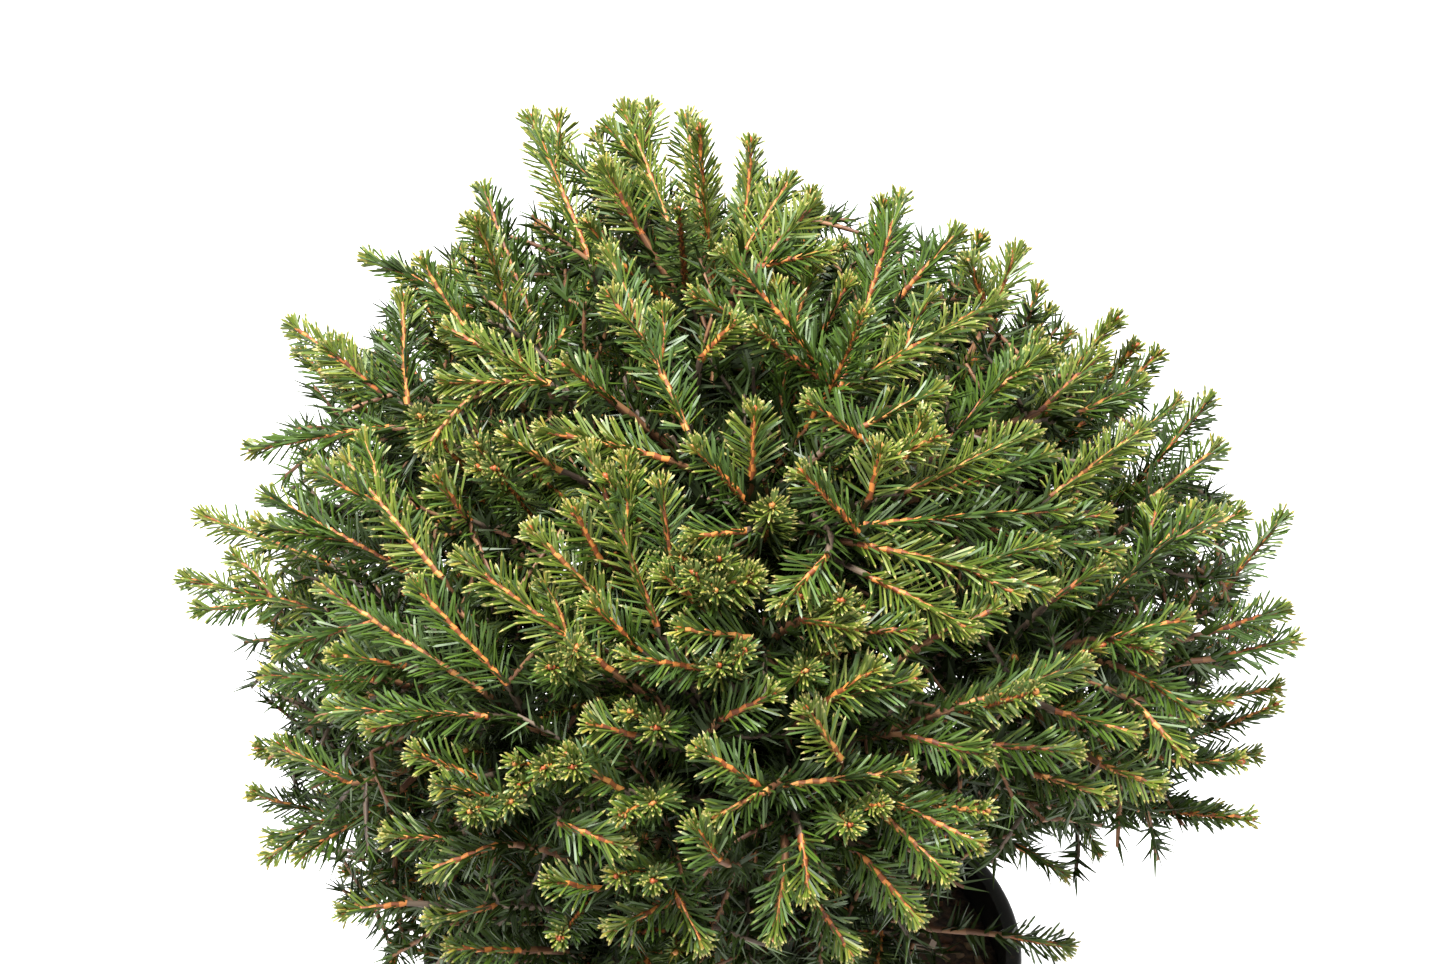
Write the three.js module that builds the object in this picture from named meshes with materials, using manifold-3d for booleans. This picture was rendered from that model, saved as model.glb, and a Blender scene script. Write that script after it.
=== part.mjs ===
// A dwarf Serbian spruce grown as a low dense globe, standing in a round nursery pot.
// Millimetres, +Z up. The origin is the centre of the pot's flat underside.
//
// The plant is built the way it grows. A short tapering trunk stands on the growing medium. Four tiers
// of boughs leave it, and each bough carries one mass of foliage. Every mass keeps to its own wedge of
// the crown, so neighbours never meet, and the sprays of needles in it end on the crown's outline.
import * as THREE from "three";
import { mergeVertices } from "three/addons/utils/BufferGeometryUtils.js";
import Module from "manifold-3d";

const wasm = await Module();
wasm.setup();

// Clearance between solids that meet, the closest that foliage comes to a limb or to its wedge's wall, and
// the size of sliver that fusing leaves behind and that is smoothed away.
const seatGap = 0.3;
const limbClearance = 1.2;
const wedgeClearance = 0.7;
const sliver = 0.4;

// The pot, a thin-walled five-litre container with a turned-out lip and holes in its floor.
const potHeight = 205;
const potRimRadius = 112;
const potFootRadius = 84;
const potWall = 2.2;
const potFloor = 3.3;
const lipDepth = 12;
const lipStandOut = 3.6;
const edgeRadius = 1.2;
const potSides = 32;
const drainHoles = 6;
const drainHoleRadius = 5;
const drainSides = 8;
const drainRingRadius = 58;

// The growing medium, lowest at the pot's wall, with a low flat crest round the trunk.
const mediumEdge = 190;
const mediumShoulder = 192.5;
const mediumShoulderRadius = 52;
const groundLevel = 196;
const crestRadius = 26;

// The trunk, from its cut at the ground to its tip inside the crown.
const trunkHeight = 165;
const trunkLean = new THREE.Vector2(5, 7);
const trunkBaseRadius = 11;
const trunkTipRadius = 3.4;
const rootFlare = 6.5;
const rootFlareFade = 9.6;
const rootLobes = 5;
const rootLobeDepth = 0.28;
const trunkSides = 15;
const trunkSteps = 7;
const ringCrowding = 1.7;

// The crown. Its outline is round in plan. It rises to a blunt point and draws in towards the pot, and
// its widest level stands out to one side of both. A shape of 2 would be an oval, and less is more
// pointed. The heart is the point that the wedges and the sprays spread from.
const crownCentre = new THREE.Vector3(14, 2, groundLevel + 179);
const crownRadius = 190;
const crownRise = 156;
const crownDrop = 206;
const crownRiseShape = 1.5;
const crownDropShape = 2;
const crownTopShift = -36;
const crownFootShift = -30;
const heart = new THREE.Vector3(0, 0, groundLevel + 84);
const lowestFoliage = potHeight + 2.5;

// The tiers of boughs: how many, how high on the trunk they start, how steeply their foliage lies as seen
// from the heart, and the bearing of the first, both in degrees. Bearings run from +X towards +Y.
const tiers = [
  { name: "skirt", count: 7, attach: 20, rise: -17, bearing: 22, baseRadius: 4.0 },
  { name: "waist", count: 7, attach: 46, rise: 12, bearing: -4, baseRadius: 4.0 },
  { name: "shoulder", count: 6, attach: 82, rise: 40, bearing: 32, baseRadius: 3.7 },
  { name: "crest", count: 4, attach: 124, rise: 66, bearing: 12, baseRadius: 3.2 },
];
const bearingWander = 7;
const riseWander = 3;
const attachStagger = 6;

// A bough takes this share of the way from the trunk to the outline, and its mass's stem the next.
const boughShare = 0.44;
const stemShare = 0.72;
const boughTipRadius = 2.3;
const stemTipRadius = 1.6;
const boughSag = 11;
const boughSides = 5;
const boughSteps = 3;
const stemSteps = 2;
const leaderRise = 50;

// The dense middle of a mass, where crossing twigs shut out the light: its share of the crown's outline,
// its distance from its wedge's walls and from its bough's tip, and how uneven it is.
const denseShare = 0.73;
const denseWallGap = 1.6;
const denseFromBough = 5;
const denseUneven = 0.16;

// Sprays. Their tips are spread evenly over the outline by the golden angle, down to a lowest share of
// its drop, then moved in or out a little, mass by mass and tip by tip, and kept off the wedge's walls.
const tipsOnWholeOutline = 182;
const lowestTip = -0.83;
const massWander = 0.035;
const tipWander = 0.075;
const wallMargin = 8;
const rootZone = [0.3, 0.9];
const rootDepth = 14;
const bareStalk = 3;
const sprayBend = 0.5;
const sprayTwist = 0.8;
const sprayRootRadius = 1.9;
const sprayTipRadius = 1.1;
const needleRings = 4;
const sideNeedle = 14;
const upNeedle = 11;
const needleLean = 7;
const needleTaper = 0.5;
const shortenedNeedles = [1, 0.75, 0.5, 0.3];

const materials = {
  pot: new THREE.MeshStandardMaterial({ color: 0x1d1f21, roughness: 0.55 }),
  medium: new THREE.MeshStandardMaterial({ color: 0x3a2518, roughness: 1 }),
  bark: new THREE.MeshStandardMaterial({ color: 0x6b4a33, roughness: 0.9 }),
  needles: new THREE.MeshStandardMaterial({ color: 0x3f6a2c, roughness: 0.5 }),
};

const up = new THREE.Vector3(0, 0, 1);
const northward = new THREE.Vector3(0, 1, 0);
const steep = 0.9;
const goldenAngle = Math.PI * (3 - Math.sqrt(5));

// A repeatable stream of numbers from 0 to 1.
function seeded(seed) {
  let state = seed;
  return () => {
    state = (state * 1664525 + 1013904223) % 4294967296;
    return state / 4294967296;
  };
}

// A unit vector at a bearing and a rise, in degrees.
function pointing(bearing, rise) {
  const b = THREE.MathUtils.degToRad(bearing);
  const r = THREE.MathUtils.degToRad(rise);
  return new THREE.Vector3(Math.cos(b) * Math.cos(r), Math.sin(b) * Math.cos(r), Math.sin(r));
}

// Below 1 inside the crown's outline and above 1 outside it.
function crownLevel(point) {
  const height = point.z - crownCentre.z;
  const above = height > 0;
  const share = Math.abs(height) / (above ? crownRise : crownDrop);
  const shift = share * (above ? crownTopShift : crownFootShift);
  const shape = above ? crownRiseShape : crownDropShape;
  const out = Math.hypot(point.x - crownCentre.x - shift, point.y - crownCentre.y) / crownRadius;
  return out ** shape + share ** shape;
}

// Where a ray from inside the crown meets its outline.
function onOutline(from, direction) {
  let near = 0;
  let far = 2 * (crownRadius + crownRise);
  for (let i = 0; i < 40; i++) {
    const middle = (near + far) / 2;
    if (crownLevel(from.clone().addScaledVector(direction, middle)) < 1) near = middle;
    else far = middle;
  }
  return from.clone().addScaledVector(direction, near);
}

// A manifold solid from a closed geometry, and a named mesh from a solid.
function solidOf(geometry) {
  const bare = geometry.index ? geometry.toNonIndexed() : geometry.clone();
  bare.deleteAttribute("normal");
  bare.deleteAttribute("uv");
  const merged = mergeVertices(bare, 1e-4);
  return new wasm.Manifold(
    new wasm.Mesh({
      numProp: 3,
      vertProperties: new Float32Array(merged.attributes.position.array),
      triVerts: new Uint32Array(merged.index.array),
    }),
  );
}

// Leaves out loose scraps, and fills hollows that fusing has sealed.
function largestPiece(solid) {
  return solid.decompose().reduce((best, piece) => (piece.volume() > best.volume() ? piece : best));
}

function meshOf(solid, name, material) {
  const made = solid.getMesh();
  const places = new Float32Array(made.numVert * 3);
  for (let i = 0; i < made.numVert; i++) {
    places.set(made.vertProperties.subarray(i * made.numProp, i * made.numProp + 3), i * 3);
  }
  const geometry = new THREE.BufferGeometry();
  geometry.setAttribute("position", new THREE.BufferAttribute(places, 3));
  geometry.setIndex(new THREE.BufferAttribute(made.triVerts, 1));
  geometry.computeVertexNormals();
  const mesh = new THREE.Mesh(geometry, material);
  mesh.name = name;
  return mesh;
}

// The axes of a limb's section at a share of its curve: across it, and up from it. A steep limb takes
// its bearings from +Y instead, so that its sections don't turn about it.
function sectionAxes(curve, share) {
  const chord = curve.getPoint(1).sub(curve.getPoint(0)).normalize();
  const along = curve.getTangent(share);
  const across = new THREE.Vector3().crossVectors(along, chord.z > steep ? northward : up).normalize();
  return { along, across, above: new THREE.Vector3().crossVectors(across, along) };
}

// Bends a cylinder along a curve. ringAt gives each ring's share of the curve, and sectionAt the
// distance out and forward of each corner of a ring. A pointed one ends in a single corner.
function bentCylinder(curve, sides, steps, ringAt, sectionAt, pointed = false, twist = 0) {
  const geometry = new THREE.CylinderGeometry(pointed ? 0 : 1, 1, 1, sides, steps);
  const position = geometry.attributes.position;
  const place = new THREE.Vector3();
  for (let i = 0; i < position.count; i++) {
    place.fromBufferAttribute(position, i);
    const ring = Math.round((place.y + 0.5) * steps);
    const share = ringAt(ring);
    const centre = curve.getPoint(share);
    const { along, across, above } = sectionAxes(curve, share);
    if (Math.hypot(place.x, place.z) > 0.01) {
      const turn = Math.atan2(place.x, place.z);
      const corner = ((Math.round((turn / (2 * Math.PI)) * sides) % sides) + sides) % sides;
      const { out, forward } = sectionAt(ring, corner);
      centre.addScaledVector(across, out * Math.sin(turn + twist));
      centre.addScaledVector(above, out * Math.cos(turn + twist));
      centre.addScaledVector(along, forward);
    }
    position.setXYZ(i, centre.x, centre.y, centre.z);
  }
  return geometry;
}

// A round tapering limb over part of a curve.
function limb(curve, from, to, startRadius, endRadius, steps) {
  const ringAt = (ring) => THREE.MathUtils.lerp(from, to, ring / steps);
  const sectionAt = (ring) => ({
    out: THREE.MathUtils.lerp(startRadius, endRadius, ring / steps),
    forward: 0,
  });
  return solidOf(bentCylinder(curve, boughSides, steps, ringAt, sectionAt));
}

// The trunk's line starts upright, so that its cut is level, and leans a little higher up. Its section
// spreads into root lobes at the ground. It can be made thicker all round, to cut a seat with.
const trunkLine = new THREE.QuadraticBezierCurve3(
  new THREE.Vector3(0, 0, groundLevel + seatGap),
  new THREE.Vector3(0, 0, groundLevel + trunkHeight * 0.5),
  new THREE.Vector3(trunkLean.x, trunkLean.y, groundLevel + trunkHeight),
);

function trunkSolid(thicker) {
  const ringAt = (ring) => (ring / trunkSteps) ** ringCrowding;
  const sectionAt = (ring, corner) => {
    const share = ringAt(ring);
    const wave = Math.cos((corner / trunkSides) * rootLobes * 2 * Math.PI);
    const lobe = 1 - rootLobeDepth * (1 - wave);
    const flare = rootFlare * lobe * Math.exp((-share * trunkHeight) / rootFlareFade);
    return {
      out: THREE.MathUtils.lerp(trunkBaseRadius, trunkTipRadius, share) + flare + thicker,
      forward: 0,
    };
  };
  return solidOf(bentCylinder(trunkLine, trunkSides, trunkSteps, ringAt, sectionAt));
}

// A bough's and its stem's course from the trunk to the outline, and the axis of its wedge. Low boughs
// arch over and high ones curve upwards.
function courseOf(attach, bearing, rise) {
  const axis = pointing(bearing, rise);
  const start = trunkLine.getPoint(attach / trunkHeight);
  const end = onOutline(heart, axis);
  const middle = start.clone().lerp(end, 0.5);
  middle.z += rise < 0 ? boughSag : -boughSag;
  return { axis, line: new THREE.QuadraticBezierCurve3(start, middle, end) };
}

// Every foliage mass of the crown, with the limb that carries it.
const masses = [];
for (const [level, tier] of tiers.entries()) {
  const draw = seeded(101 + level);
  for (let i = 0; i < tier.count; i++) {
    const bearing = tier.bearing + (360 * i) / tier.count + bearingWander * (2 * draw() - 1);
    const rise = tier.rise + riseWander * (2 * draw() - 1);
    const attach = tier.attach + (i % 2 ? attachStagger : -attachStagger);
    const { axis, line } = courseOf(attach, bearing, rise);
    masses.push({ name: `${tier.name}_${i + 1}`, axis, line, from: boughShare, tier });
  }
}
const leaderLine = new THREE.QuadraticBezierCurve3(
  trunkLine.getPoint(1),
  trunkLine.getPoint(1).addScaledVector(trunkLine.getTangent(1), leaderRise),
  onOutline(heart, up),
);
masses.push({ name: "leader", axis: up.clone(), line: leaderLine, from: 0, tier: null });

// The wedge walls of each mass: planes through the heart, half way to every other mass's axis.
for (const mass of masses) {
  mass.walls = masses
    .filter((other) => other !== mass)
    .map((other) => mass.axis.clone().sub(other.axis).normalize());
}

function roomInWedge(mass, point) {
  const away = point.clone().sub(heart);
  return Math.min(...mass.walls.map((wall) => wall.dot(away)));
}

// Spray tips, dealt to the wedge that they fall in and kept a little off its walls.
function sprayTips() {
  const dealt = new Map(masses.map((mass) => [mass, []]));
  const draw = seeded(7);
  for (let i = 0; i < tipsOnWholeOutline; i++) {
    const height = 1 - (2 * (i + 0.5)) / tipsOnWholeOutline;
    const width = Math.sqrt(1 - height * height);
    const turn = i * goldenAngle;
    const wander = 1 + tipWander * (2 * draw() - 1);
    if (height < lowestTip) continue;
    const direction = new THREE.Vector3(width * Math.cos(turn), width * Math.sin(turn), height);
    const tip = onOutline(crownCentre, direction);
    const owner = masses.reduce((best, mass) => {
      const away = tip.clone().sub(heart).normalize();
      return mass.axis.dot(away) > best.axis.dot(away) ? mass : best;
    });
    dealt.get(owner).push({ tip, wander });
  }
  return dealt;
}

// The limbs, each thickened for its clearance, to test foliage against.
const limbLines = masses
  .filter((mass) => mass.tier)
  .map((mass) => ({
    line: mass.line,
    to: boughShare,
    radiusAt: (share) => THREE.MathUtils.lerp(mass.tier.baseRadius, boughTipRadius, share / boughShare),
  }));
limbLines.push({
  line: trunkLine,
  to: 1,
  radiusAt: (share) => THREE.MathUtils.lerp(trunkBaseRadius + 3, trunkTipRadius, share),
});

function clearOfLimbs(point, margin) {
  const probes = 24;
  return limbLines.every(({ line, to, radiusAt }) => {
    for (let i = 0; i <= probes; i++) {
      const share = (to * i) / probes;
      const nearest = radiusAt(share) + limbClearance + margin;
      if (line.getPoint(share).distanceTo(point) < nearest) return false;
    }
    return true;
  });
}

function fits(mass, point, margin) {
  const low = point.z < lowestFoliage + margin;
  return !low && roomInWedge(mass, point) > wedgeClearance + margin && clearOfLimbs(point, margin);
}

// How far a point is inside the dense middle of a mass, or below zero outside it.
function denseRoom(mass, point) {
  const shrunk = point.clone().sub(heart).divideScalar(denseShare).add(heart);
  const fromBough = mass.axis.dot(point.clone().sub(mass.line.getPoint(mass.from)));
  return Math.min(
    roomInWedge(mass, point) - denseWallGap,
    (1 - crownLevel(shrunk)) * 0.5 * denseShare * crownRadius,
    fromBough - denseFromBough,
    point.z - lowestFoliage - denseWallGap,
  );
}

// The dense middle is a faceted lump that reaches out to those limits, unevenly, from the roomiest point
// on the mass's own line.
function denseMiddle(mass, draw) {
  const centre = mass.line
    .getPoints(60)
    .reduce((best, point) => (denseRoom(mass, point) > denseRoom(mass, best) ? point : best));
  const lump = new THREE.IcosahedronGeometry(1, 1);
  lump.deleteAttribute("normal").deleteAttribute("uv");
  const faceted = mergeVertices(lump);
  const position = faceted.attributes.position;
  const direction = new THREE.Vector3();
  for (let i = 0; i < position.count; i++) {
    direction.fromBufferAttribute(position, i);
    let near = 0;
    let far = crownRadius;
    for (let step = 0; step < 20; step++) {
      const middle = (near + far) / 2;
      if (denseRoom(mass, centre.clone().addScaledVector(direction, middle)) > 0) near = middle;
      else far = middle;
    }
    direction.multiplyScalar(near * (1 - denseUneven * draw())).add(centre);
    position.setXYZ(i, direction.x, direction.y, direction.z);
  }
  return solidOf(faceted);
}

// One spray: a slim four-sided core with needles that stand out of it as teeth, two from each ring, to
// the sides and then above and below. A tooth that would leave the wedge or touch a limb is shortened,
// and a spray whose core would is left out. Its root is sunk in the dense middle, or else in the stem.
function spray(mass, root, tip, twist) {
  const outward = tip.clone().sub(heart).normalize();
  const bend = tip.clone().addScaledVector(outward, -sprayBend * root.distanceTo(tip));
  const line = new THREE.QuadraticBezierCurve3(root, bend, tip);
  const steps = needleRings + 1;
  let first = 1;
  while (first > 0.1 && denseRoom(mass, line.getPoint(first)) < -bareStalk) first -= 0.02;
  let start = first;
  while (start > 0 && denseRoom(mass, line.getPoint(start)) < rootDepth) start -= 0.02;
  start = Math.max(0, start);
  const ringAt = (ring) => (ring === 0 ? start : first + ((1 - first) * (ring - 1)) / (steps - 1));
  const sectionAt = (ring, corner) => {
    const share = ringAt(ring);
    const core = THREE.MathUtils.lerp(sprayRootRadius, sprayTipRadius, share);
    const sideways = corner % 2 === 1;
    if (ring === 0 || sideways !== (ring % 2 === 1)) return { out: core, forward: 0 };
    const taper = 1 - needleTaper * ((ring - 1) / (needleRings - 1)) ** 2;
    const reach = (sideways ? sideNeedle : upNeedle) * taper;
    const { along, across, above } = sectionAxes(line, share);
    const turn = (corner * Math.PI) / 2 + twist;
    for (const part of shortenedNeedles) {
      const end = line.getPoint(share);
      end.addScaledVector(across, part * reach * Math.sin(turn));
      end.addScaledVector(above, part * reach * Math.cos(turn));
      end.addScaledVector(along, part * needleLean);
      if (fits(mass, end, 0)) return { out: part * reach, forward: part * needleLean };
    }
    return { out: core, forward: 0 };
  };
  for (let ring = 0; ring <= steps; ring++) {
    if (!fits(mass, line.getPoint(ringAt(ring)), sprayRootRadius)) return null;
  }
  return solidOf(bentCylinder(line, 4, steps, ringAt, sectionAt, true, twist));
}

// Moves a tip that is near its wedge's wall back into the wedge.
function offTheWalls(mass, tip) {
  const away = tip.clone().sub(heart);
  for (const wall of mass.walls) {
    const lack = wallMargin - wall.dot(away);
    if (lack > 0) away.addScaledVector(wall, lack);
  }
  return away.add(heart);
}

// A whole mass of foliage: stem, dense middle and sprays, fused into one body.
function foliage(mass, tips, number) {
  const draw = seeded(301 + number);
  const reach = 1 + massWander * (2 * draw() - 1);
  const length = mass.line.getLength();
  const startRadius = mass.tier ? boughTipRadius : trunkTipRadius;
  const from = mass.from + seatGap / length;
  let body = limb(mass.line, from, stemShare, startRadius, stemTipRadius, stemSteps);
  body = body.add(denseMiddle(mass, draw));
  for (const { tip, wander } of tips) {
    const along = THREE.MathUtils.lerp(...rootZone, draw());
    const root = mass.line.getPoint(THREE.MathUtils.lerp(mass.from, stemShare, along));
    const twist = sprayTwist * (2 * draw() - 1);
    const moved = tip.clone().sub(crownCentre).multiplyScalar(reach * wander).add(crownCentre);
    const end = offTheWalls(mass, moved);
    end.z = Math.max(end.z, lowestFoliage + sideNeedle / 2);
    const grown = spray(mass, root, end, twist);
    if (grown) body = body.add(grown);
  }
  return largestPiece(body.simplify(sliver));
}

// The pot's section, from the middle of its underside round its wall and lip and back inside.
function potSolid() {
  const wallTop = potRimRadius - lipStandOut;
  const inside = wallTop - potWall;
  const profile = [
    [0, 0],
    [potFootRadius - edgeRadius, 0],
    [potFootRadius, edgeRadius],
    [wallTop, potHeight - lipDepth],
    [potRimRadius, potHeight - lipDepth + edgeRadius],
    [potRimRadius, potHeight - edgeRadius],
    [potRimRadius - edgeRadius, potHeight],
    [inside, potHeight],
    [potFootRadius - potWall, potFloor],
    [0, potFloor],
  ].map(([r, z]) => new THREE.Vector2(r, z));
  let pot = solidOf(new THREE.LatheGeometry(profile, potSides).rotateX(Math.PI / 2));
  for (let i = 0; i < drainHoles; i++) {
    const hole = new THREE.CylinderGeometry(drainHoleRadius, drainHoleRadius, potFloor * 4, drainSides);
    const turn = (i / drainHoles) * 2 * Math.PI;
    hole.rotateX(Math.PI / 2);
    hole.translate(drainRingRadius * Math.cos(turn), drainRingRadius * Math.sin(turn), 0);
    pot = pot.subtract(solidOf(hole));
  }
  return pot;
}

// The growing medium fills the pot to just under its lip. It keeps the seat gap from the wall.
function mediumSolid() {
  const top = potRimRadius - lipStandOut - potWall;
  const foot = potFootRadius - potWall;
  const slope = (top - foot) / (potHeight - potFloor);
  const radiusAt = (z) => foot + slope * (z - potFloor) - seatGap;
  const bottom = potFloor + seatGap;
  const profile = [
    [0, bottom],
    [radiusAt(bottom), bottom],
    [radiusAt(mediumEdge), mediumEdge],
    [mediumShoulderRadius, mediumShoulder],
    [crestRadius, groundLevel],
    [0, groundLevel],
  ].map(([r, z]) => new THREE.Vector2(r, z));
  return solidOf(new THREE.LatheGeometry(profile, potSides).rotateX(Math.PI / 2));
}

const plant = new THREE.Group();
plant.add(meshOf(potSolid(), "pot", materials.pot));
plant.add(meshOf(mediumSolid(), "growing_medium", materials.medium));
plant.add(meshOf(trunkSolid(0), "trunk", materials.bark));

// A bough starts inside the trunk and is cut back to a snug seat on its bark.
const trunkSeat = trunkSolid(seatGap);
for (const mass of masses) {
  if (!mass.tier) continue;
  const whole = limb(mass.line, 0, boughShare, mass.tier.baseRadius, boughTipRadius, boughSteps);
  plant.add(meshOf(largestPiece(whole.subtract(trunkSeat)), `bough_${mass.name}`, materials.bark));
}

const dealt = sprayTips();
for (const [number, mass] of masses.entries()) {
  plant.add(meshOf(foliage(mass, dealt.get(mass), number), `foliage_${mass.name}`, materials.needles));
}

export default plant;
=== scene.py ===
# %% [markdown]
# # A dwarf spruce in a nursery pot
#
# The plant is a low, dense globe of a spruce: a short trunk, four tiers of boughs, and on every
# bough a mass of twigs that end in needled shoots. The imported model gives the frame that
# everything is placed in, and simple solids for each part. This script dresses those solids.
#
# The crown could be modelled by scattering shoots over a ball, but a real crown shows where its
# shoots come from. So the script repeats the rule that the solids were grown by, and then carries
# the same twigs on to finer ones, until single needles stand on them.

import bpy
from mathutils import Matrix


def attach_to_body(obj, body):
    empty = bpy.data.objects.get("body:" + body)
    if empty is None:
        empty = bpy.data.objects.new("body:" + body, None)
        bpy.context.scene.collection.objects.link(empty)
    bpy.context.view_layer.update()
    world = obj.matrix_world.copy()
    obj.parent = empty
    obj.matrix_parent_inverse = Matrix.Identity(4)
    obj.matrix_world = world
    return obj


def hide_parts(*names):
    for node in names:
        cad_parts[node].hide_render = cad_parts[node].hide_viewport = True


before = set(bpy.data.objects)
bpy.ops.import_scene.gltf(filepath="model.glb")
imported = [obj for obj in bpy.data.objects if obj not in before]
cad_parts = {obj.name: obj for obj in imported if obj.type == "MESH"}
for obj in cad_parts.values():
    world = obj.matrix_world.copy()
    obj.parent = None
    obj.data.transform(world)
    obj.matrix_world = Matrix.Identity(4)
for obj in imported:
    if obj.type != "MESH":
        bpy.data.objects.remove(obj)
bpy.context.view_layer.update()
print("nodes in the frame:", len(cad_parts))

# %% The tools that the lesson uses
import itertools
import math

import bmesh
import bpy
import numpy as np
from mathutils import Vector

MILLIMETRE = 0.001

# %% [markdown]
# ## The measures of the plant
#
# These are the same measures, in millimetres, that the solids were made from. They are written
# again here because the growing rule needs them, and so that the twigs leave the boughs where the
# solids do.

# %% The ground, the trunk's line and the crown
GROUND = 196
SEAT_GAP = 0.3
POT_HEIGHT = 205
TRUNK_HEIGHT = 165
TRUNK_TOP = np.array([5, 7, GROUND + TRUNK_HEIGHT], float)
TRUNK_TIP_RADIUS = 3.4

CROWN_CENTRE = np.array([14, 2, GROUND + 179], float)
CROWN_RADIUS = 190
CROWN_RISE = 156
CROWN_DROP = 206
CROWN_RISE_SHAPE = 1.5
CROWN_DROP_SHAPE = 2
CROWN_TOP_SHIFT = -36
CROWN_FOOT_SHIFT = -30
HEART = np.array([0, 0, GROUND + 84], float)
LOWEST_SHOOT = 214.5
UP = np.array([0, 0, 1], float)

# %% The boughs
# A tier of boughs: name, count, height on the trunk, rise, bearing of the first, base radius.
TIERS = [
    ("skirt", 7, 20, -17, 22, 4.0),
    ("waist", 7, 46, 12, -4, 4.0),
    ("shoulder", 6, 82, 40, 32, 3.7),
    ("crest", 4, 124, 66, 12, 3.2),
]
TIER_NAMES = [tier[0] for tier in TIERS]
BEARING_WANDER = 7
RISE_WANDER = 3
ATTACH_STAGGER = 6
BOUGH_SHARE = 0.44
STEM_SHARE = 0.72
BOUGH_TIP_RADIUS = 2.3
STEM_TIP_RADIUS = 1.6
BOUGH_SAG = 11
LEADER_RISE = 50

# %% [markdown]
# ## The growing rule
#
# A repeatable stream of numbers stands in for chance, so the plant comes out the same every time.
# The outline of the crown is round in plan, blunt-pointed above and drawn in below. Every bough
# is one smooth curve from the trunk towards that outline, low ones arching over and high ones
# sweeping up.

# %% Chance and directions
def stream(seed):
    state = seed

    def draw():
        nonlocal state
        state = (state * 1664525 + 1013904223) % 4294967296
        return state / 4294967296

    return draw


def either_way(draw):
    """A number from -1 to 1."""
    return 2 * draw() - 1


def unit(v):
    v = np.asarray(v, float)
    return v / np.maximum(np.linalg.norm(v, axis=-1, keepdims=True), 1e-12)


def pointing(bearing, rise):
    b, r = math.radians(bearing), math.radians(rise)
    return np.array([math.cos(b) * math.cos(r), math.sin(b) * math.cos(r), math.sin(r)])


# %% The outline of the crown
HALVINGS = 40


def crown_level(point):
    """0 in the middle of the crown and 1 on its outline."""
    height = point[2] - CROWN_CENTRE[2]
    reach, shift, shape = (
        (CROWN_RISE, CROWN_TOP_SHIFT, CROWN_RISE_SHAPE) if height > 0
        else (CROWN_DROP, CROWN_FOOT_SHIFT, CROWN_DROP_SHAPE))
    share = abs(height) / reach
    out = math.hypot(point[0] - CROWN_CENTRE[0] - shift * share, point[1] - CROWN_CENTRE[1])
    return (out / CROWN_RADIUS) ** shape + share**shape


def on_outline(start, direction):
    """Where a straight line leaves the crown, found by halving."""
    near, far = 0, 2 * (CROWN_RADIUS + CROWN_RISE)
    for _ in range(HALVINGS):
        middle = (near + far) / 2
        if crown_level(start + direction * middle) < 1:
            near = middle
        else:
            far = middle
    return start + direction * near


# %% Curves
class Curve:
    """A quadratic curve through a start and an end, drawn towards a middle point."""

    def __init__(self, start, middle, end):
        self.a, self.b, self.c = (np.asarray(p, float) for p in (start, middle, end))

    def at(self, t):
        t = np.asarray(t, float)[..., None]
        return (1 - t) ** 2 * self.a + 2 * t * (1 - t) * self.b + t**2 * self.c

    def slope(self, t):
        t = np.asarray(t, float)[..., None]
        return unit(2 * (1 - t) * (self.b - self.a) + 2 * t * (self.c - self.b))


def length_of(points):
    return float(np.linalg.norm(np.diff(points, axis=0), axis=1).sum())


# %% Trunk, boughs and the masses they carry
BOUGH_SEED = 101
trunk_line = Curve((0, 0, GROUND + SEAT_GAP), (0, 0, GROUND + TRUNK_HEIGHT * 0.5), TRUNK_TOP)
masses = []
for level, (tier, count, attach, rise, bearing, base_radius) in enumerate(TIERS):
    draw = stream(BOUGH_SEED + level)
    for i in range(count):
        bearing_here = bearing + 360 * i / count + BEARING_WANDER * either_way(draw)
        rise_here = rise + RISE_WANDER * either_way(draw)
        stagger = ATTACH_STAGGER if i % 2 else -ATTACH_STAGGER
        start = trunk_line.at((attach + stagger) / TRUNK_HEIGHT)
        axis = pointing(bearing_here, rise_here)
        end = on_outline(HEART, axis)
        middle = (start + end) / 2 + UP * (BOUGH_SAG if rise_here < 0 else -BOUGH_SAG)
        masses.append(
            dict(name=f"{tier}_{i + 1}", tier=tier, near=i < (count + 1) // 2, axis=axis,
                 line=Curve(start, middle, end), start=BOUGH_SHARE, radius=base_radius)
        )
leader_slope = trunk_line.slope(1.0)
masses.append(
    dict(name="leader", tier="crest", near=False, axis=UP.copy(), start=0, radius=TRUNK_TIP_RADIUS,
         line=Curve(TRUNK_TOP, TRUNK_TOP + leader_slope * LEADER_RISE, on_outline(HEART, UP)))
)
for mass in masses:
    mass["walls"] = [unit(mass["axis"] - other["axis"]) for other in masses if other is not mass]
print("masses of foliage:", len(masses))

# %% [markdown]
# ## The sprays
#
# A spray is one small branch of a mass. The tips of the sprays lie on the outline of the crown,
# spread evenly by the golden angle, as seeds are in a sunflower, and each goes to the mass that
# points at it best. Its root lies on that mass's stem. The streams of chance are the solids' own,
# number for number.

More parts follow.
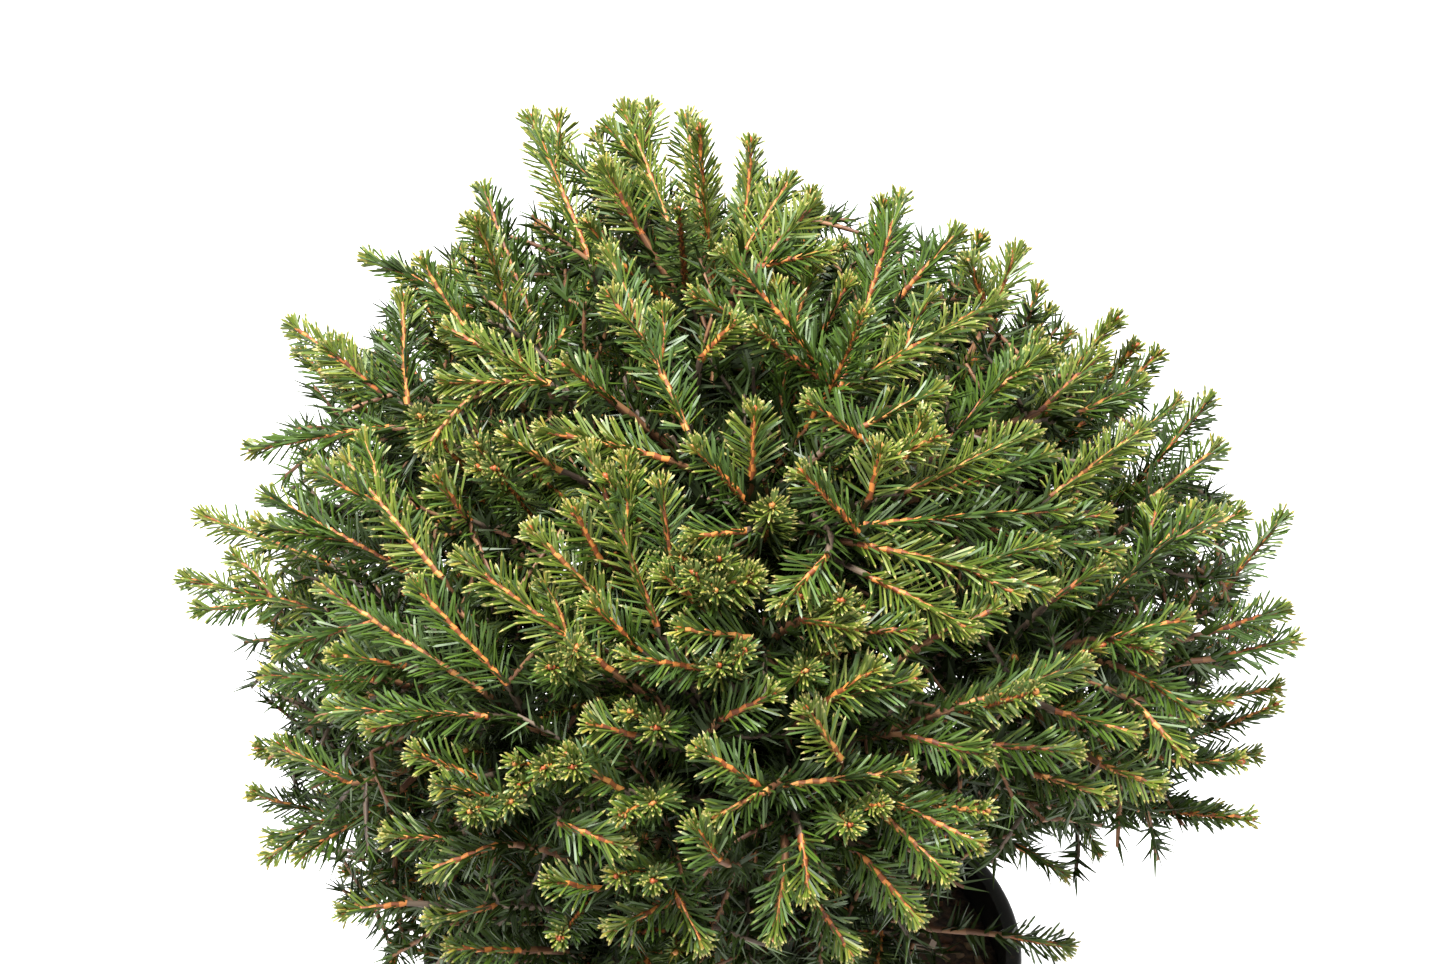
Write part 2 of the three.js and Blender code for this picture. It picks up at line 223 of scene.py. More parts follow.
# %% Spray tips, spread evenly over the outline
TIP_SEED = 7
TIPS_ON_WHOLE_OUTLINE = 182
LOWEST_TIP = -0.83
TIP_WANDER = 0.075
GOLDEN_ANGLE = math.pi * (3 - math.sqrt(5))
draw = stream(TIP_SEED)
for mass in masses:
    mass["tips"] = []
for i in range(TIPS_ON_WHOLE_OUTLINE):
    height = 1 - 2 * (i + 0.5) / TIPS_ON_WHOLE_OUTLINE
    width = math.sqrt(1 - height * height)
    wander = 1 + TIP_WANDER * either_way(draw)
    if height < LOWEST_TIP:
        continue
    turn = i * GOLDEN_ANGLE
    way = np.array([width * math.cos(turn), width * math.sin(turn), height])
    tip = on_outline(CROWN_CENTRE, way)
    owner = max(masses, key=lambda mass: mass["axis"] @ unit(tip - HEART))
    owner["tips"].append((tip, wander))

# %% Each spray's root and tip
SPRAY_SEED = 301
MASS_WANDER = 0.035
WALL_MARGIN = 8
ROOT_ZONE = (0.3, 0.9)
# A solid takes this many draws for the corners of its dense middle, which no twig needs.
DRAWS_FOR_THE_SOLID = 42
sprays = []


def off_the_walls(mass, tip):
    """Moves a tip clear of the planes that part its mass from the others."""
    away = tip - HEART
    for wall in mass["walls"]:
        lack = WALL_MARGIN - wall @ away
        if lack > 0:
            away = away + wall * lack
    return away + HEART


for number, mass in enumerate(masses):
    draw = stream(SPRAY_SEED + number)
    reach = 1 + MASS_WANDER * either_way(draw)
    for _ in range(DRAWS_FOR_THE_SOLID):
        draw()
    for tip, wander in mass["tips"]:
        along = ROOT_ZONE[0] + (ROOT_ZONE[1] - ROOT_ZONE[0]) * draw()
        draw()
        root_share = mass["start"] + (STEM_SHARE - mass["start"]) * along
        end = off_the_walls(mass, (tip - CROWN_CENTRE) * reach * wander + CROWN_CENTRE)
        end[2] = max(end[2], LOWEST_SHOOT)
        sprays.append(dict(mass=mass, root=mass["line"].at(root_share), tip=end))
print("sprays that the twigs grow on from:", len(sprays))

# %% [markdown]
# ## Twigs and shoots
#
# On the real plant a spray is last year's twig, brown and thinly needled, that ends at a node.
# From the node this year's shoots fan out, one straight on and two or three beside it, nearly as
# long. A few short ones stand on the older wood.
#
# Each twig here is a list of points with a direction that is its upper side, which the needles
# are combed by. They could also be drawn by hand from the photograph, but only one side of it is
# seen.

# %% A twig and its frame
chance = np.random.RandomState(2024)
twigs = []
THIS_YEAR, LAST_YEAR, STEM = 0, 1, 2
UPWARD, OUTWARD, UNEVEN = 0.75, 0.55, 0.18


def between(low, high):
    return low + (high - low) * chance.rand()


def either_hand():
    return 1 if chance.rand() < 0.5 else -1


def add_twig(points, mass, age, radii, vigour=1.0):
    """Keeps a twig: its points, mass and age, its radii at foot and tip, and its vigour.

    The needles of a vigorous twig are longer.
    """
    points = np.asarray(points, float)
    slopes = unit(np.gradient(points, axis=0))
    middle = points[len(points) // 2]
    above = UPWARD * UP + OUTWARD * unit(middle - HEART) + UNEVEN * chance.standard_normal(3)
    upper = unit(above - (slopes @ above)[:, None] * slopes)
    twig = dict(points=points, slopes=slopes, upper=upper, side=np.cross(slopes, upper), mass=mass,
                age=age, radii=radii, vigour=vigour, length=length_of(points))
    twigs.append(twig)
    return twig


# %% A shoot that stays within the crown
STEP = 5.0
SHORTEST = 15
SHORTENINGS, SHORTER = 7, 0.84
AS_IT_STARTS, AS_IT_BENDS = 0.66, 0.34


def stepped(line, length, fewest=4):
    """Points along a curve, about one step apart."""
    return line.at(np.linspace(0, 1, max(fewest, int(length / STEP))))


def within_reach(start, direction, bend, length, level=1.04):
    """The points of a shoot, shortened until it ends inside a level of the crown."""
    for _ in range(SHORTENINGS):
        end = start + unit(direction * AS_IT_STARTS + bend * AS_IT_BENDS) * length
        end[2] = max(end[2], LOWEST_SHOOT)
        if crown_level(end) < level:
            break
        length *= SHORTER
    if length < SHORTEST:
        return None
    return stepped(Curve(start, start + direction * length * 0.5, end), length)


# %% [markdown]
# ## Where no shoot grows
#
# The real crown isn't a whole ball. Low in front on the right it has a gap, where the pot's rim
# shows, and its outline draws in at a few places between the long shoots. Growing the twigs first
# and cutting them afterwards would leave blunt ends. So the rule asks before it grows a shoot.

# %% The gap and the notches
GAP_EDGE, GAP_TOP = 78, 262
# The tangent of the 32 degrees that the camera looks down by.
SIGHT_FALL = 0.625
NOTCHES = np.array([
    (10, 98, 497), (62, 93, 484), (99, 96, 468), (132, 59, 451), (187, -43, 322), (190, 4, 316),
    (182, 0, 341), (-40, 47, 517), (-56, 53, 519), (-25, 56, 521), (-160, 71, 415),
    (-175, -42, 384), (-146, -55, 270), (-141, -66, 280), (-143, -112, 303), (-131, -91, 268),
    (-151, -91, 317),
])
NOTCH_SIZE = 16


def in_the_gap(point):
    """True low in front on the right, as seen by a camera that looks down."""
    return point[0] > GAP_EDGE and point[2] + SIGHT_FALL * point[1] < GAP_TOP


def wanted(point):
    """False in that gap, and in a notch of the crown's outline."""
    return not in_the_gap(point) and np.linalg.norm(NOTCHES - point, axis=1).min() > NOTCH_SIZE


# %% [markdown]
# ## The strongest fans
#
# An even rule gives an even plant. On the real one the strongest shoots stand where chance put
# them, and they are what the eye follows: long straight ones that sweep up and outwards in fans
# from a few nodes. So the fans of the seen side are placed one by one. Each starts at a node, its
# first point, and its older twig is led back to the nearest stem. The rule's own sprays give way
# to them.

# %% The strongest fans, as a node and the tips of its shoots, in millimetres
FANS = [
    ((-62, 10, 459), [(-82, 55, 491), (-122, 49, 468)]),
    ((-55, -57, 480), [(-87, -42, 491), (-87, -61, 483)]), ((-103, -34, 459), [(-105, -13, 486)]),
    ((-113, -3, 442), [(-132, 3, 458), (-147, 28, 453)]), ((-44, 10, 488), [(-65, 58, 517)]),
    ((-27, 11, 498), [(-53, 42, 511), (-39, 17, 519)]), ((-18, 19, 497), [(-33, 56, 521)]),
    ((-6, 17, 487), [(-12, 60, 516)]), ((7, -3, 498), [(22, 21, 512)]),
    ((12, -18, 501), [(29, 3, 512), (33, -21, 508)]), ((-11, -79, 476), [(-36, -36, 515)]),
    ((37, -52, 474), [(-8, -52, 509), (1, -35, 515), (59, 13, 510), (90, -9, 483)]),
    ((47, -79, 470), [(28, -82, 487)]), ((44, -69, 471), [(67, -62, 480)]),
    ((67, -57, 451), [(103, -15, 472)]), ((57, -84, 456), [(98, -62, 464)]),
    ((70, -79, 453), [(103, -66, 459)]), ((107, -53, 435), [(138, -27, 444)]),
    ((140, 19, 388), [(173, 55, 407)]), ((146, -9, 406), [(170, 11, 414)]),
    ((106, -15, 445), [(127, 6, 454)]), ((120, -8, 440), [(141, 5, 443)]),
    ((91, 25, 458), [(101, 47, 471), (84, 26, 478)]), ((59, 18, 469), [(80, 42, 481)]),
    ((122, -79, 410), [(155, -46, 425)]), ((164, -16, 362), [(197, 20, 380)]),
    ((158, -29, 403), [(173, -25, 410)]), ((162, -57, 384), [(187, -44, 384)]),
    ((167, -57, 374), [(191, -48, 375)]), ((42, -103, 449), [(100, -110, 437)]),
    ((40, -99, 453), [(107, -83, 449)]), ((80, -86, 444), [(124, -86, 435)]),
    ((45, -110, 442), [(75, -129, 435)]), ((74, -132, 408), [(112, -123, 417)]),
    ((123, -94, 407), [(147, -89, 411), (135, -102, 408)]),
    ((105, -121, 398), [(127, -129, 396)]), ((120, -122, 378), [(136, -133, 378)]),
    ((133, -107, 390), [(145, -122, 383)]), ((131, -96, 396), [(150, -110, 390)]),
    ((32, -142, 417), [(46, -145, 431), (57, -145, 427)]), ((15, -155, 394), [(55, -163, 406)]),
    ((56, -142, 404), [(79, -153, 405)]), ((83, -136, 396), [(108, -142, 398)]),
    ((98, -134, 383), [(118, -144, 383)]), ((52, -153, 387), [(77, -168, 383)]),
    ((49, -155, 384), [(68, -173, 375)]), ((42, -161, 374), [(59, -175, 360)]),
    ((24, -165, 383), [(26, -181, 374)]), ((28, -166, 359), [(39, -178, 349)]),
    ((19, -168, 374), [(16, -181, 358)]), ((-16, -165, 364), [(-7, -180, 354)]),
    ((-50, -164, 387), [(-31, -176, 388)]), ((-70, -146, 365), [(-91, -150, 358)]),
    ((-85, -137, 360), [(-104, -141, 364)]), ((-73, -129, 402), [(-123, -117, 396)]),
    ((-77, -137, 384), [(-94, -141, 396)]), ((-66, -143, 379), [(-86, -149, 390)]),
    ((-112, -93, 340), [(-139, -99, 324), (-151, -82, 318)]),
    ((-121, -104, 357), [(-144, -95, 365)]), ((-112, -98, 394), [(-147, -86, 387)]),
    ((-104, -115, 316), [(-123, -119, 316)]), ((-67, -126, 412), [(-95, -112, 439)]),
    ((-75, -124, 408), [(-126, -93, 426)]), ((-98, -77, 419), [(-150, -40, 427)]),
    ((-89, -94, 431), [(-120, -64, 455)]), ((-34, -133, 422), [(-80, -113, 450)]),
    ((-25, -132, 429), [(-39, -133, 446)]), ((-34, -121, 436), [(-58, -113, 460)]),
    ((-20, -126, 434), [(-41, -98, 479)]), ((-17, -87, 470), [(-55, -88, 481)]),
    ((-15, -118, 444), [(-19, -108, 473)]), ((-112, -11, 436), [(-160, 3, 419)]),
    ((-132, -34, 396), [(-178, -7, 398)]), ((-134, -51, 389), [(-182, -28, 386)]),
    ((-101, -105, 404), [(-121, -108, 410)]), ((-113, -88, 409), [(-142, -88, 400)]),
    ((-5, -138, 426), [(-28, -146, 436)]), ((8, -134, 435), [(-12, -141, 443)]),
    ((-5, -128, 441), [(-17, -130, 455)]), ((24, -130, 439), [(39, -138, 441)]),
    ((39, -127, 432), [(57, -134, 438)]), ((14, -163, 399), [(-1, -174, 398)]),
    ((13, -162, 398), [(-6, -165, 415)]), ((-16, -165, 357), [(-33, -175, 355)]),
    ((-71, -144, 339), [(-91, -149, 337)]), ((-65, -144, 320), [(-85, -151, 327)]),
    ((100, -56, 295), [(119, -58, 283)]), ((118, -52, 311), [(130, -58, 293)]),
    ((99, -81, 274), [(118, -79, 268)]), ((-27, -153, 412), [(-39, -157, 419)]),
    ((-80, -63, 478), [(-92, -78, 471)]), ((9, -91, 466), [(10, -87, 487)]),
    ((57, -76, 462), [(63, -75, 477)]), ((46, -92, 459), [(49, -90, 475)]),
    ((7, -98, 462), [(-8, -99, 481)]), ((7, -114, 461), [(-8, -122, 464)]),
    ((42, -101, 452), [(25, -102, 474)]), ((32, -120, 456), [(19, -136, 450)]),
    ((-10, -124, 446), [(9, -131, 454)]), ((-26, -105, 459), [(-35, -105, 474)]),
    ((-38, -113, 450), [(-45, -112, 466)]), ((65, -120, 425), [(84, -120, 436)]),
    ((-7, -59, 490), [(3, -60, 503)]), ((-35, -69, 481), [(-48, -71, 494)]),
    ((-80, -88, 448), [(-89, -88, 463)]), ((-51, -84, 464), [(-66, -86, 477)]),
    ((104, -95, 422), [(119, -92, 433)]), ((-1, -152, 417), [(14, -155, 428)]),
    ((36, -157, 406), [(26, -157, 424)]), ((-31, -158, 395), [(-46, -160, 409)]),
    ((-1, -177, 383), [(-8, -177, 395)]), ((-38, -166, 363), [(-52, -171, 370)]),
    ((13, -82, 435), [(15, -117, 472)]), ((-1, -94, 425), [(-1, -130, 461)]),
    ((31, -99, 416), [(36, -136, 450)]), ((-1, -114, 404), [(-1, -153, 438)]),
    ((-38, -124, 381), [(-45, -166, 410)]), ((-47, -122, 378), [(-54, -164, 408)]),
    ((-18, -132, 374), [(-21, -175, 403)]), ((-18, -139, 354), [(-21, -183, 380)]),
    ((-45, -109, 401), [(-52, -148, 434)]), ((-17, -123, 392), [(-20, -164, 423)]),
    ((-66, -120, 363), [(-77, -162, 390)]), ((-12, -3, 483), [(-14, -25, 525)]),
    ((-83, -45, 440), [(-95, -73, 477)]), ((-61, -67, 437), [(-70, -99, 474)]),
    ((21, -114, 403), [(25, -153, 436)]), ((-42, -131, 331), [(-50, -177, 353)]),
    ((-2, -101, 420), [(-2, -138, 455)]), ((33, -135, 370), [(38, -179, 398)]),
]

# %% The older twig of a fan
FAN_TWIG, SHADED_TWIG = (1.5, 1.15), (0.85, 0.55)
STEM_POINTS = 10
POINTS_BACK = 3
FAN_TWIG_BOW = 0.45
LONG_TWIG = 35
SHADED_FROM, SHADED_LENGTHS = (0.3, 0.85), (30, 52)
SHADED_LEANS_ON, SHADED_LEVEL = 0.4, 0.8


def nearest_stem(point):
    """The mass whose stem passes nearest to a point, and where on that stem a twig starts."""
    share = np.linspace(0, 1, STEM_POINTS)
    stems = [mass["line"].at(mass["start"] + (STEM_SHARE - mass["start"]) * share)
             for mass in masses]
    gaps = [np.linalg.norm(stem - point, axis=1) for stem in stems]
    number = int(np.argmin([gap.min() for gap in gaps]))
    return masses[number], stems[number][max(0, int(np.argmin(gaps[number])) - POINTS_BACK)]


def lead_back(node, onward):
    """Grows last year's twig from the nearest stem to a node, and shaded twigs beside it."""
    mass, root = nearest_stem(node)
    gap = np.linalg.norm(node - root)
    line = Curve(root, node - unit(onward + unit(node - root)) * gap * FAN_TWIG_BOW, node)
    older = stepped(line, gap, 5)
    add_twig(older, mass, LAST_YEAR, FAN_TWIG)
    for _ in range(2 if gap > LONG_TWIG else 1):
        at = int(between(*SHADED_FROM) * (len(older) - 1))
        aside = unit(np.cross(onward, chance.standard_normal(3)))
        direction = unit(onward * SHADED_LEANS_ON + aside)
        length = between(*SHADED_LENGTHS)
        points = within_reach(older[at], direction, onward, length, SHADED_LEVEL)
        if points is not None and not in_the_gap(points[-1]):
            add_twig(points, mass, LAST_YEAR, SHADED_TWIG, vigour=1.05)
    return mass


# %% The shoots of a fan
FAN_SHOOT, TINY_SHOOT = (1.05, 0.66), (0.7, 0.5)
SHOOT_BOW, SHOOT_VIGOUR = (0.02, 0.07), (0.98, 1.08)
LONG_SHOOT = 42
TINY_FROM, TINY_LENGTHS = (0.3, 0.72), (15, 26)
TINY_ONWARD, TINY_ASIDE, TINY_UPWARD = 0.8, (0.5, 0.8), (0, 0.5)
TINY_SHOOT_LEVEL = 1.08
placed = []


def grow_shoot(node, tip, mass):
    """Grows one shoot of a fan, bowed outwards, and up to two tiny ones on it if it is long."""
    span = np.linalg.norm(tip - node)
    bow = unit(tip - HEART) * span * between(*SHOOT_BOW)
    points = stepped(Curve(node, (node + tip) / 2 + bow, tip), span)
    shoot = add_twig(points, mass, THIS_YEAR, FAN_SHOOT, between(*SHOOT_VIGOUR))
    placed.append(shoot["points"])
    for _ in range(chance.randint(0, 3) if span > LONG_SHOOT else 0):
        at = int(between(*TINY_FROM) * (len(points) - 1))
        forward, upper, side = (shoot[axis][at] for axis in ("slopes", "upper", "side"))
        hand = either_hand()
        direction = unit(forward * TINY_ONWARD + side * hand * between(*TINY_ASIDE)
                         + upper * between(*TINY_UPWARD))
        length = between(*TINY_LENGTHS)
        short = within_reach(points[at], direction, forward, length, TINY_SHOOT_LEVEL)
        if short is not None:
            add_twig(short, mass, THIS_YEAR, TINY_SHOOT, vigour=0.85)


for node, tips in FANS:
    node, tips = np.array(node, float), np.array(tips, float)
    mass = lead_back(node, unit(unit(tips - node).mean(axis=0)))
    for tip in tips:
        grow_shoot(node, tip, mass)
placed = np.concatenate(placed)
print("placed fans:", len(FANS))

# %% [markdown]
# ## The rule's own sprays
#
# Everywhere else the sprays of the solids are dressed. The first part of a spray's line is last
# year's twig and the rest is its own shoot, and at the node between them a flat fan of side
# shoots opens. A spray that would crowd a placed shoot, or end in a notch, stays a little inside
# the crown instead, where it closes the view between the others.

# %% The side shoots and short twigs of a spray
SPRAY_TWIG, SPRAY_SHOOT = (1.4, 1.1), (0.95, 0.6)
SIDE_SHOOT, SHORT_TWIG = (0.9, 0.58), (0.8, 0.55)
FAN_ROLL = (-28, 28)
PAIR_ANGLE, PAIR_LIFT = (44, 66), (-0.1, 0.3)
THIRD_SHOOTS = 0.35
THIRD_ANGLE, THIRD_LIFT = (26, 40), (0.1, 0.5)
THIRD_STARTS_BACK = (0, 6)
SIDE_SHARE, SIDE_VIGOUR = (0.76, 1.0), (0.9, 1.0)
SHORT_FROM, SHORT_ONWARD, SHORT_LENGTHS = (0.3, 0.9), (0.35, 0.75), (26, 50)
SHORT_TWIG_LEVEL = 0.84


def fan_out(terminal, young, crowded):
    """Side shoots round the foot of a spray's own shoot: a flat pair, and at times a third."""
    fields = ("points", "slopes", "upper", "side")
    node, forward, upper, across = (terminal[field][0] for field in fields)
    roll = math.radians(between(*FAN_ROLL))
    flat = across * math.cos(roll) + upper * math.sin(roll)
    rise = np.cross(flat, forward)
    third = either_hand()
    fan = [1, -1] + ([third] if chance.rand() < THIRD_SHOOTS and not crowded else [])
    for place, hand in enumerate(fan):
        extra = place > 1
        wide = math.radians(between(*(THIRD_ANGLE if extra else PAIR_ANGLE)))
        lift = between(*(THIRD_LIFT if extra else PAIR_LIFT))
        direction = unit(forward * math.cos(wide) + flat * hand * math.sin(wide) - rise * lift)
        start = node - forward * between(*THIRD_STARTS_BACK) * extra
        points = within_reach(start, direction, forward, young * between(*SIDE_SHARE))
        if points is not None and wanted(points[-1]):
            add_twig(points, terminal["mass"], THIS_YEAR, SIDE_SHOOT, between(*SIDE_VIGOUR))


def short_twigs(whole, node, outward, mass):
    """One or two short twigs on the older part of a spray."""
    for _ in range(chance.randint(1, 3)):
        at = int(between(*SHORT_FROM) * node)
        slope = unit(whole[at + 1] - whole[at])
        aside = unit(np.cross(slope, chance.standard_normal(3)))
        direction = unit(slope * between(*SHORT_ONWARD) + aside)
        length = between(*SHORT_LENGTHS)
        points = within_reach(whole[at], direction, outward, length, SHORT_TWIG_LEVEL)
        if points is not None and not in_the_gap(points[-1]):
            add_twig(points, mass, LAST_YEAR, SHORT_TWIG, vigour=0.95)


# %% Grow every spray
ROOM = 24
GIVING_WAY = 0.85
TIP_STANDS_OUT = (-20, 3)
YOUNG_SHARE = (0.62, 0.82)
SHORTEST_YEAR, LONGEST_YEAR = 48, 92
MOST_OF_A_SPRAY = 0.88
for spray in sprays:
    mass, root, tip = spray["mass"], spray["root"], spray["tip"]
    if in_the_gap(tip):
        continue
    outward = unit(tip - HEART)
    tip = tip + outward * between(*TIP_STANDS_OUT)
    crowded = np.linalg.norm(placed - tip, axis=1).min() < ROOM or not wanted(tip)
    if crowded:
        tip = HEART + (tip - HEART) * GIVING_WAY
    span = np.linalg.norm(tip - root)
    whole = stepped(Curve(root, tip - outward * span * 0.5, tip), span, 8)
    total = length_of(whole)
    young = max(total * between(*YOUNG_SHARE), SHORTEST_YEAR)
    young = min(young, LONGEST_YEAR, total * MOST_OF_A_SPRAY)
    node = max(2, int(round((1 - young / total) * (len(whole) - 1))))
    add_twig(whole[: node + 1], mass, LAST_YEAR, SPRAY_TWIG)
    fan_out(add_twig(whole[node:], mass, THIS_YEAR, SPRAY_SHOOT), young, crowded)
    short_twigs(whole, node, outward, mass)

# %% [markdown]
# ## The shaded inside
#
# Under the shoots in the light a spruce keeps older ones, thin and dull, and they are why nobody
# can see through it. Some stand round the stem of each mass. The rest are grown where a look over
# the whole inside, point by point on a grid, finds room: each from the nearest older wood to that
# point. A dark ball in the middle would close the view too, but would show as a ball wherever the
# shoots part.

# %% Stems of the masses, and the shaded shoots round them
INNER_SHOOTS = 13
INNER_FROM = 0.2
INNER_LEVEL = 0.66
INNER_TWIG = (0.9, 0.6)
INNER_ONWARD, INNER_LENGTHS = (-0.1, 0.9), (40, 70)
INNER_WANDER = (-0.3, 0.3)
INNER_STEM_POINTS = 14
# No mass grows in this direction, so it serves to find one across each mass's axis.
ACROSS_EVERY_AXIS = (0.3, 0.9, 0.1)
for mass in masses:
    share = np.linspace(mass["start"], STEM_SHARE, INNER_STEM_POINTS)
    foot_radius = BOUGH_TIP_RADIUS if mass["start"] else TRUNK_TIP_RADIUS
    add_twig(mass["line"].at(share), mass, STEM, (foot_radius, STEM_TIP_RADIUS))
    across = unit(np.cross(mass["axis"], ACROSS_EVERY_AXIS))
    above = np.cross(mass["axis"], across)
    for i in range(INNER_SHOOTS):
        along = INNER_FROM + (STEM_SHARE - INNER_FROM) * (i + chance.rand()) / INNER_SHOOTS
        turn = i * GOLDEN_ANGLE + between(*INNER_WANDER)
        aside = across * math.cos(turn) + above * math.sin(turn)
        direction = unit(mass["axis"] * between(*INNER_ONWARD) + aside)
        start, length = mass["line"].at(along), between(*INNER_LENGTHS)
        points = within_reach(start, direction, mass["axis"], length, INNER_LEVEL)
        if points is not None and not in_the_gap(points[-1]):
            add_twig(points, mass, LAST_YEAR, INNER_TWIG, vigour=1.08)

# %% More shaded shoots, wherever the inside still has room
FILL_STEP, FILL_STEPS, FILL_WANDER = 18, 11, 8
FILL_ROOM = 10
FILL_LEVEL = 0.84
FILL_ABOVE_LOWEST = 14
FILL_FROM_THE_GAP = (16, 0, 0)
FULL_ENDS_TO, LONGEST_END, SHORTEST_END = 0.6, 16, 6
END_WANDER, FILL_BOW = 0.5, 0.1
owners = [twig["mass"] for twig in twigs if twig["age"] for _ in twig["points"]]
older_wood = np.concatenate([twig["points"] for twig in twigs if twig["age"]])
reached = np.concatenate([twig["points"] for twig in twigs])


def has_room(point):
    """True inside the crown where no twig is near."""
    inside = crown_level(point) <= FILL_LEVEL and point[2] >= LOWEST_SHOOT + FILL_ABOVE_LOWEST
    return (inside and not in_the_gap(point + FILL_FROM_THE_GAP)
            and np.linalg.norm(reached - point, axis=1).min() >= FILL_ROOM)


steps = np.arange(-FILL_STEPS, FILL_STEPS + 1) * FILL_STEP
before = len(twigs)
for offset in itertools.product(steps, steps, steps):
    point = CROWN_CENTRE + offset + chance.uniform(-FILL_WANDER, FILL_WANDER, 3)
    if not has_room(point):
        continue
    nearest = int(np.argmin(np.linalg.norm(older_wood - point, axis=1)))
    start = older_wood[nearest]
    span = np.linalg.norm(point - start)
    reach = np.interp(crown_level(point), [FULL_ENDS_TO, FILL_LEVEL], [LONGEST_END, SHORTEST_END])
    end = point + unit(unit(point - start) + END_WANDER * chance.standard_normal(3)) * reach
    line = Curve(start, (start + point) / 2 + unit(point - HEART) * span * FILL_BOW, end)
    points = stepped(line, span + LONGEST_END)
    points[:, 2] = np.maximum(points[:, 2], LOWEST_SHOOT)
    add_twig(points, owners[nearest], LAST_YEAR, SHADED_TWIG, vigour=1.08)
    reached = np.concatenate([reached, points])
print("shaded shoots in the room left:", len(twigs) - before)
young_twigs = [t for t in twigs if t["age"] == THIS_YEAR]
print("twigs:", len(twigs), "of which this year's shoots:", len(young_twigs))
print("length of this year's shoots, m:", round(sum(t["length"] for t in young_twigs) / 1000, 1))

# %% [markdown]
# ## Node trees written as Python
#
# Both materials and Geometry Nodes are trees of nodes. A long tree is hard to read as a list of
# links, so a small class wraps a socket and lets its arithmetic be written as an expression. Any
# other node comes from one method, which sets the node's own settings first and then its sockets.
# The nodes that this lesson uses often have short names on top of that method.

# %% A socket that can be used in sums
class Wire:
    """The output socket of a node, with the arithmetic that this lesson needs."""

    def __init__(self, bench, socket):
        self.bench, self.socket = bench, socket

    def maths(self, operation, first, second):
        return self.bench.node("ShaderNodeMath", {"operation": operation}, {0: first, 1: second})

    def __add__(self, other):
        return self.maths("ADD", self, other)

    __radd__ = __add__

    def __sub__(self, other):
        return self.maths("SUBTRACT", self, other)

    def __rsub__(self, other):
        return self.maths("SUBTRACT", other, self)

    def __mul__(self, other):
        return self.maths("MULTIPLY", self, other)

    __rmul__ = __mul__


# %% A bench to make nodes on
class Bench:
    """Makes the nodes of one tree."""

    def __init__(self, tree):
        self.tree = tree

    def node(self, kind, settings=None, sockets=None, output=0):
        """Adds a node: first its own settings, then a value or a wire for each socket."""
        made = self.tree.nodes.new(kind)
        for name, value in (settings or {}).items():
            if name == "stops":
                ramp = made.color_ramp
                while len(ramp.elements) < len(value):
                    ramp.elements.new(0.5)
                for stop, (place, colour) in zip(ramp.elements, value):
                    stop.position, stop.color = place, (*colour, 1)
            else:
                setattr(made, name, value)
        for key, value in (sockets or {}).items():
            if isinstance(value, Wire):
                self.tree.links.new(value.socket, made.inputs[key])
            else:
                made.inputs[key].default_value = value
        return Wire(self, made.outputs[output]) if made.outputs else None

    def parts(self, vector):
        """The three numbers of a vector."""
        first = self.node("ShaderNodeSeparateXYZ", None, {0: vector})
        return [Wire(self, socket) for socket in first.socket.node.outputs]

    def vector(self, x, y, z):
        return self.node("ShaderNodeCombineXYZ", None, {"X": x, "Y": y, "Z": z})

    def compare(self, first, operation, second):
        return self.node("FunctionNodeCompare", {"operation": operation}, {0: first, 1: second})

    def named(self, name, kind="FLOAT"):
        """What the points carry under a name."""
        return self.node("GeometryNodeInputNamedAttribute", {"data_type": kind}, {"Name": name})

    def store(self, geometry, domain, name, number):
        """Gives each point, face or copy of a geometry a number under a name."""
        return self.node("GeometryNodeStoreNamedAttribute",
                         {"data_type": "FLOAT", "domain": domain},
                         {"Geometry": geometry, "Name": name, "Value": number})

    def noise(self, place, scale, detail):
        return self.node("ShaderNodeTexNoise", None,
                         {"Vector": place, "Scale": scale, "Detail": detail})

    def ramp(self, tone, *stops):
        """A colour for a tone, from stops that each have a place and a screen's colour."""
        stops = [(place, linear(*colour)) for place, colour in stops]
        return self.node("ShaderNodeValToRGB", {"stops": stops}, {0: tone})

    def bump(self, height, strength, distance):
        return self.node("ShaderNodeBump", None,
                         {"Height": height, "Strength": strength, "Distance": distance})

    def blend(self, share, first, second):
        """A colour between two, a screen's colours or wires."""
        first, second = (c if isinstance(c, Wire) else (*linear(*c), 1) for c in (first, second))
        return self.node("ShaderNodeMix", {"data_type": "RGBA"},
                         {0: share, 6: first, 7: second}, 2)

    def feed(self, shader, **wires):
        """Links wires to the sockets of a shader that have their names."""
        for name, wire in wires.items():
            self.tree.links.new(wire.socket, shader.inputs[name.replace("_", " ")])


# %% Colours and new materials
def linear(red, green, blue):
    """A colour read off a screen, 0 to 255, as the light that it stands for."""
    parts = [c / 255 for c in (red, green, blue)]
    return tuple(c / 12.92 if c <= 0.04045 else ((c + 0.055) / 1.055) ** 2.4 for c in parts)


def new_material(name, roughness, colour=(0.5, 0.5, 0.5), **plain):
    """A material with one principled shader, the bench to add to it, and the shader."""
    material = bpy.data.materials.new(name)
    material.use_nodes = True
    shader = material.node_tree.nodes["Principled BSDF"]
    shader.inputs["Base Color"].default_value = (*colour, 1)
    shader.inputs["Roughness"].default_value = roughness
    for socket, value in plain.items():
        shader.inputs[socket.replace("_", " ")].default_value = value
    material.diffuse_color = (*colour, 1)
    return material, Bench(material.node_tree), shader


def one_colour(name, roughness, colour, **plain):
    """A material of one colour, given as it is read off a screen."""
    return new_material(name, roughness, linear(*colour), **plain)[0]


